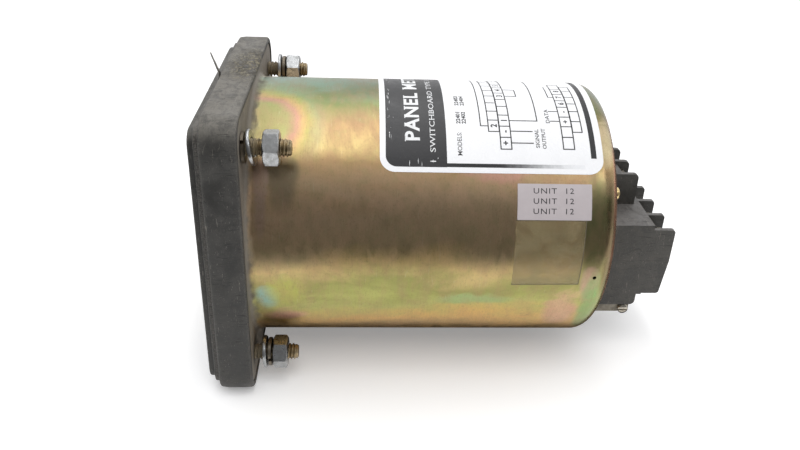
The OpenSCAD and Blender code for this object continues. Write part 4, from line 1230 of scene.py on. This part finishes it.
def rearward(u0, v0):
    """Placing for words that read along the barrel, towards its rear."""
    return lambda x, y: (u0 + y, v0 + x)


# The label's rows of boxes: edges in degrees round the barrel, then front and rear in mm
BOX_ROWS = [
    ([50.4, 55.9, 61.5, 67.7, 73.3, 78.4, 84.0, 89.9, 95.6, 101.3, 107.0, 112.7], 89.6, 93.5),
    ([58.7, 64.7, 70.0, 75.6, 81.1, 86.5, 92.1, 97.8, 103.5], 85.6, 89.5),
    ([50.8, 56.4, 61.8, 67.2, 73.5, 78.3, 84.0, 89.7, 95.4], 112.3, 116.3),
    ([59.0, 64.7, 70.7, 76.0, 81.4, 87.0, 92.6], 116.4, 119.9),
]
# Wires drawn on the label: runs of (degrees, mm) points
WIRES = [
    [(59.0, 93.5), (59.0, 101.4)], [(53.3, 93.5), (53.3, 101.4)],
    [(61.5, 85.6), (61.5, 82.8), (112.0, 82.8)], [(64.6, 93.5), (64.6, 103.8), (112.0, 103.8)],
    [(81.2, 93.5), (81.2, 98.0), (87.5, 98.0), (87.5, 93.5)], [(64.7, 112.3), (64.7, 108.8)],
    [(70.5, 112.3), (70.5, 108.8)], [(81.0, 112.3), (81.0, 110.2), (92.0, 110.2)],
]
# Marks in the boxes: words, middle in degrees, base line in mm, height in mm
BOX_MARKS = [
    ("+", 53.2, 92.6, 2.4), ("-", 58.8, 92.6, 2.4), ("1", 64.6, 92.7, 2.3), ("3", 81.2, 92.7, 2.3),
    ("4", 87.0, 92.7, 2.3), ("5", 92.7, 92.7, 2.3), ("2", 61.7, 88.7, 2.3), ("+", 64.5, 115.3, 2.1),
    ("-", 70.4, 115.3, 2.1), ("6", 76.0, 115.4, 2.2), ("7", 81.2, 115.4, 2.2),
    ("8", 87.0, 115.4, 2.2),
]
# Small words: words, start in degrees, length in degrees, base line in mm, height in mm, weight
SMALL_WORDS = [
    ("MODELS:", 47.2, 10.8, 75.6, 1.65, 0.004), ("SIGNAL", 51.2, 9.0, 103.7, 1.4, 0.01),
    ("OUTPUT", 50.8, 9.8, 106.1, 1.4, 0.01), ("DATA", 63.6, 8.3, 108.5, 1.5, 0.01),
    ("22401", 62.4, 6.8, 75.5, 1.5, 0.03), ("22402", 62.4, 6.8, 77.5, 1.5, 0.03),
    ("22403", 73.2, 7.0, 75.5, 1.5, 0.03), ("22404", 73.2, 7.0, 77.5, 1.5, 0.03),
]


def fading_ink():
    """Black ink that thins out to the label's white towards the barrel's rear."""
    g = Graph("fading_ink")
    _, y, _ = g.axes()
    rub = g.noise(0.5, None, 8.0, 0.75, 0.5)
    gone = g.span(g.math("ADD", y, g.span(rub, 0.3, 0.7, -2.0, 2.0)), 88, 119)
    shade = g.mix(gone, (*BLACK, 1.0), (0.80, 0.81, 0.83, 1.0))
    return g.finish(Base_Color=shade, Roughness=g.span(rub, 0.3, 0.7, 0.28, 0.4))


def rubbed_flecks():
    """Small chips in the black printing along the label's front edge and at its lower corner."""
    chance = random.Random(11)
    flecks = []
    for i in range(34):
        low = i % 7 == 0
        u = deg(chance.uniform(43, 47) if low else chance.uniform(50, 112))
        v = chance.uniform(49.5, 68) if low else 49.2 + abs(chance.gauss(0, 0.9))
        long, wide = chance.uniform(0.15, 1.6), chance.uniform(0.05, 0.14)
        flecks.append([(u - long, v), (u, v - wide), (u + long * 0.8, v + 0.05), (u, v + wide)])
    return flecks


def wiring_label():
    u0, u1 = deg(40), deg(140)
    sheet_round("wiring_label_sheet", rounded_rectangle(u0, 46.3, u1, 126.4, (5.5,) * 4),
                M["label_stock"], "label_stock", ["wiring_label"])
    inner0, inner1 = deg(42.2), deg(137.8)
    black = flat_shape([rounded_rectangle(inner0, 48.4, inner1, 70.1, (4, 4, 0, 0))])
    rear_rule0, rear_rule1 = deg(46.8), inner1 - 4
    for i in range(24):
        a, b = (rear_rule0 + (rear_rule1 - rear_rule0) * (i + k) / 24 for k in (0, 1))
        flat_shape([bar(a, 122.0, b, 124.0)], bm=black)
    for words, start, long, base, height, weight in SMALL_WORDS:
        part = text_mesh(words, height, deg(long), weight, serif=True)
        add_flat(black, part, upward(deg(start), base))
    lines = []
    for edges, low, high in BOX_ROWS:
        for a, b in zip(edges, edges[1:]):
            lines += frame_lines(deg(a), low, deg(b), high, 0.42)
    for run in WIRES:
        for (a, ya), (b, yb) in zip(run, run[1:]):
            lines.append(line(deg(a), ya, deg(b), yb, 0.42))
    flat_shape(lines, bm=black)
    for words, middle, base, height in BOX_MARKS:
        part = text_mesh(words, height, None, 0.03, True)
        add_flat(black, part, upward(deg(middle), base))
    wrap_round(black, LABEL_R + 0.02)
    make_piece("wiring_label_black", black, "label_stock", materials=[M["black_print"]])
    rule = flat_shape([bar(inner0 + 0.1, 69.9, inner0 + 1.5, 119.5)])
    wrap_round(rule, LABEL_R + 0.02)
    make_piece("wiring_label_rule", rule, "label_stock", materials=[fading_ink()])
    white = bmesh.new()
    add_flat(white, text_mesh("PANEL METER", 5.3, deg(62), 0.028, spacing=1.1, serif=True),
             upward(deg(53.2), 60.4))
    add_flat(white, text_mesh("SWITCHBOARD TYPE 1", 2.0, deg(52), 0.0, spacing=1.05, serif=True),
             upward(deg(48.6), 66.1))
    add_flat(white, text_mesh("1", 2.0, None, 0.02), upward(deg(44.4), 66.1))
    flat_shape(rubbed_flecks(), bm=white)
    wrap_round(white, LABEL_R + 0.045)
    make_piece("wiring_label_white", white, "label_stock", materials=[M["white_print"]])


def id_sticker():
    sheet_round("id_sticker_sheet", rounded_rectangle(deg(21.5), 95, deg(36), 121.7, (0.3,) * 4, 3),
                M["sticker_stock"], "label_stock", ["id_sticker"])
    ink = bmesh.new()
    for row in range(3):
        words = text_mesh("UNIT  12", 2.05, 14.5, 0.0, spacing=1.15)
        add_flat(ink, words, rearward(deg(32.1) - 3.62 * row, 100.7))
    wrap_round(ink, LABEL_R + 0.02)
    make_piece("id_sticker_print", ink, "label_stock", materials=[M["black_print"]])
    skewed = [(deg(-7.3), 94.9), (deg(-7.0), 119.6), (deg(21.3), 120), (deg(21.3), 94.6)]
    sheet_round("clear_tail_film", skewed, M["clear_film"], "clear_film", ["clear_tail"])
    edges = [line(*a, *b, 0.22) for a, b in zip(skewed, skewed[1:] + skewed[:1])]
    dirt = flat_shape(edges[:3])
    wrap_round(dirt, LABEL_R + 0.01)
    make_piece("clear_tail_edge_dirt", dirt, "clear_film", materials=[M["edge_dirt"]])


wiring_label()
id_sticker()


# ---- Dial and pointer -------------------------------------------------------------------------
DIAL_Y = -6.2
SWEEP = 250


def on_dial(bm, name, material, lift=0.02):
    """Stands a flat drawing up on the dial, as it is seen from the front."""
    bmesh.ops.triangulate(bm, faces=bm.faces)
    for v in bm.verts:
        v.co = Vector((v.co.x, DIAL_Y - lift, v.co.y))
    bm.normal_update()
    for face in bm.faces:
        if face.normal.y > 0:
            face.normal_flip()
    make_piece(name, bm, "dial_white", materials=[material])


def scale_point(share, radius):
    a = math.radians(-SWEEP / 2 + SWEEP * share)
    return radius * math.sin(a), radius * math.cos(a)


def scale_arc(bm, start, stop, r0, r1, steps):
    for i in range(steps):
        a = start + (stop - start) * i / steps
        b = start + (stop - start) * (i + 1) / steps
        flat_shape([[scale_point(a, r0), scale_point(a, r1), scale_point(b, r1),
                     scale_point(b, r0)]], bm=bm)


def dial_face():
    ink = bmesh.new()
    scale_arc(ink, 0, 1, 37.3, 37.65, 120)
    for i in range(61):
        share = i / 60
        long_tick = i % 10 == 0
        reach, width = (42.2, 0.7) if long_tick else ((40.4, 0.35) if i % 5 == 0 else (39.4, 0.2))
        (x0, y0), (x1, y1) = scale_point(share, 37.6), scale_point(share, reach)
        flat_shape([line(x0, y0, x1, y1, width)], bm=ink)
        if long_tick:
            x, y = scale_point(share, 30.8)
            number = text_mesh(str(i // 10 * 2), 4.6, None, 0.0, True)
            add_flat(ink, number, lambda a, b, x=x, y=y: (x + a, y - 2.3 + b))
    add_flat(ink, text_mesh("kW", 5.4, None, 0.01, True), lambda a, b: (a, 13.5 + b))
    add_flat(ink, text_mesh("3 PHASE", 1.7, None, 0.0, True), lambda a, b: (a, -17.5 + b - 11.5))
    add_flat(ink, text_mesh("CLASS 1.5", 1.5, None, 0.0, True), lambda a, b: (-21 + a, -24 + b))
    add_flat(ink, text_mesh("50/60 Hz", 1.5, None, 0.0, True), lambda a, b: (21 + a, -24 + b))
    on_dial(ink, "dial_scale", M["black_print"])
    red = bmesh.new()
    scale_arc(red, 5 / 6, 1, 42.6, 43.6, 24)
    on_dial(red, "dial_red_arc", M["red_print"])


dial_face()


# ---- CAD nodes that stay: real materials, and edges broken as made parts have them ------------
BROKEN_EDGES = {
    "terminal_block_upper": 0.15, "terminal_block_lower": 0.15, "clamp_plates": 0.15,
    "earth_tab": 0.12, "front_bridge": 0.12, "zero_lever": 0.08, "small_nuts": 0.2,
    "terminal_contacts": 0.08, "dial_posts": 0.1, "jewel_screws": 0.08, "bridge_posts": 0.1,
    "movement_base": 0.25, "magnet": 0.3, "chassis_plate": 0.12, "rear_bridge": 0.12,
    "capacitors": 0.3, "logic_chips": 0.12, "board_connectors": 0.12, "window": 0.15,
    "transformer_core": 0.2, "tie_rods": 0.1, "spacer_tubes": 0.15, "pointer": 0.04,
}


def dress_nodes():
    for name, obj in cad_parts.items():
        for i, material in enumerate(obj.data.materials):
            key = "dull_tab" if name == "earth_tab" else material.name.split(".")[0]
            obj.data.materials[i] = M[key]
        weld = obj.modifiers.new("weld", "WELD")
        weld.merge_threshold = 1e-6
        if name in BROKEN_EDGES:
            bevel = obj.modifiers.new("edges", "BEVEL")
            bevel.width = BROKEN_EDGES[name] * MM
            bevel.segments = 2
            bevel.limit_method = "ANGLE"
            bevel.angle_limit = math.radians(40)
            bevel.harden_normals = True
            bevel.use_clamp_overlap = True


dress_nodes()


# ---- Camera, light and floor ------------------------------------------------------------------
CAMERA_AT = Vector((0.28643, 0.03847, 0.14820))
CAMERA_RIGHT = Vector((0.05169, 0.99786, 0.04014))
CAMERA_UP = Vector((-0.47811, -0.01056, 0.87824))
CAMERA_BACK = Vector((0.87678, -0.06459, 0.47654))


def camera():
    data = bpy.data.cameras.new("camera")
    data.sensor_width = 36
    data.lens = 35.06
    data.shift_x = -0.0090
    data.shift_y = -0.0066
    data.clip_start = 0.01
    data.dof.use_dof = False
    obj = bpy.data.objects.new("camera", data)
    bpy.context.scene.collection.objects.link(obj)
    turn = Matrix((CAMERA_RIGHT, CAMERA_UP, CAMERA_BACK)).transposed().to_4x4()
    obj.matrix_world = Matrix.Translation(CAMERA_AT) @ turn
    bpy.context.scene.camera = obj


# Brightness of the room above the floor, by elevation over the +X side, in degrees
ROOM = [(0, 0.17), (30, 0.20), (46, 0.42), (62, 0.72), (80, 0.98), (100, 1.15), (126, 1.12),
        (150, 1.05), (180, 1.0)]


def room():
    """A soft room: dark behind the camera, a long bright ceiling panel, pale on the far side."""
    world = bpy.data.worlds.new("room")
    bpy.context.scene.world = world
    world.use_nodes = True
    tree = world.node_tree
    tree.nodes.clear()

    def add(kind, links=(), **settings):
        node = tree.nodes.new(kind)
        for key, value in settings.items():
            setattr(node, key, value)
        for socket, source in links:
            if isinstance(source, bpy.types.NodeSocket):
                tree.links.new(source, node.inputs[socket])
            else:
                node.inputs[socket].default_value = source
        return node

    direction = add("ShaderNodeTexCoord").outputs["Generated"]
    parts = add("ShaderNodeSeparateXYZ", [(0, direction)]).outputs
    turn = add("ShaderNodeMath", [(0, parts[2]), (1, parts[0])], operation="ARCTAN2").outputs[0]
    share = add("ShaderNodeMath", [(0, turn), (1, 1 / math.pi)], operation="MULTIPLY").outputs[0]
    ramp = add("ShaderNodeValToRGB", [(0, share)])
    ramp.color_ramp.interpolation = "EASE"
    elements = ramp.color_ramp.elements
    while len(elements) < len(ROOM):
        elements.new(0.5)
    top = max(value for _, value in ROOM)
    for element, (angle, value) in zip(elements, ROOM):
        element.position = angle / 180
        element.color = (value / top, value / top, value / top * 1.01, 1.0)
    lit = add("ShaderNodeBackground", [(0, ramp.outputs[0]), (1, top)])
    plain = add("ShaderNodeBackground", [(0, (1.0, 1.0, 1.0, 1.0)), (1, 1.0)])
    seen = add("ShaderNodeLightPath").outputs["Is Camera Ray"]
    both = add("ShaderNodeMixShader", [(0, seen), (1, lit.outputs[0]), (2, plain.outputs[0])])
    add("ShaderNodeOutputWorld", [(0, both.outputs[0])])


def area_light(name, at, aim, size, power, colour=(1, 1, 1)):
    data = bpy.data.lights.new(name, "AREA")
    data.shape = "RECTANGLE"
    data.size, data.size_y = size
    data.energy = power
    data.color = colour
    obj = bpy.data.objects.new(name, data)
    bpy.context.scene.collection.objects.link(obj)
    obj.location = at
    obj.rotation_euler = (Vector(aim) - Vector(at)).to_track_quat("-Z", "Y").to_euler()
    return obj


FLOOR_Z = -0.0557


def stage_plane(name, x0, x1, y0, y1, z, material):
    mesh = bpy.data.meshes.new(name)
    mesh.from_pydata([(x0, y0, z), (x1, y0, z), (x1, y1, z), (x0, y1, z)], [], [(0, 1, 2, 3)])
    mesh.materials.append(material)
    obj = bpy.data.objects.new(name, mesh)
    bpy.context.scene.collection.objects.link(obj)
    return obj


def floor_paper():
    """White studio paper, lit a little from below as on a light table."""
    g = Graph("floor_paper")
    tone = g.mix(g.noise(0.01), (0.90, 0.90, 0.90, 1.0), (0.88, 0.88, 0.885, 1.0))
    return g.finish(Base_Color=tone, Roughness=0.85, Emission_Color=(1.0, 1.0, 1.0, 1.0),
                    Emission_Strength=0.26)


def stage():
    paper = floor_paper()
    stage_plane("floor", -2.5, 2.5, -2.5, 2.5, FLOOR_Z, paper)
    flag = plain_material("flag_cloth", (0.05, 0.045, 0.04), (0.04, 0.04, 0.04), 0.9)
    # The first card darkens reflections of the floor on the camera side; the second, under the object, is
    # painted shade seen only in reflections, standing in for the shadow beneath the object
    for name, x0, x1 in (("dark_flag", 0.15, 1.5), ("painted_shade_card", -0.5, 0.032)):
        card = stage_plane(name, x0, x1, -1.2, 1.4, FLOOR_Z + 0.001, flag)
        card.visible_camera = False
        card.visible_diffuse = False
        card.visible_shadow = False


camera()
room()
area_light("ceiling_strip", (-0.12, 0.07, 0.72), (0, 0.06, 0), (0.10, 0.9), 1.3)
fill = area_light("matte_fill", (0.45, 0.10, 0.75), (0, 0.06, 0), (0.4, 0.6), 2.2)
fill.visible_glossy = False
card = area_light("rear_card", (0.33, 0.33, 0.43), (0.04, 0.12, 0.03), (0.10, 0.10), 0.2)
card.visible_diffuse = False
stage()
bpy.context.scene.view_settings.view_transform = "Standard"
bpy.context.scene.view_settings.look = "None"
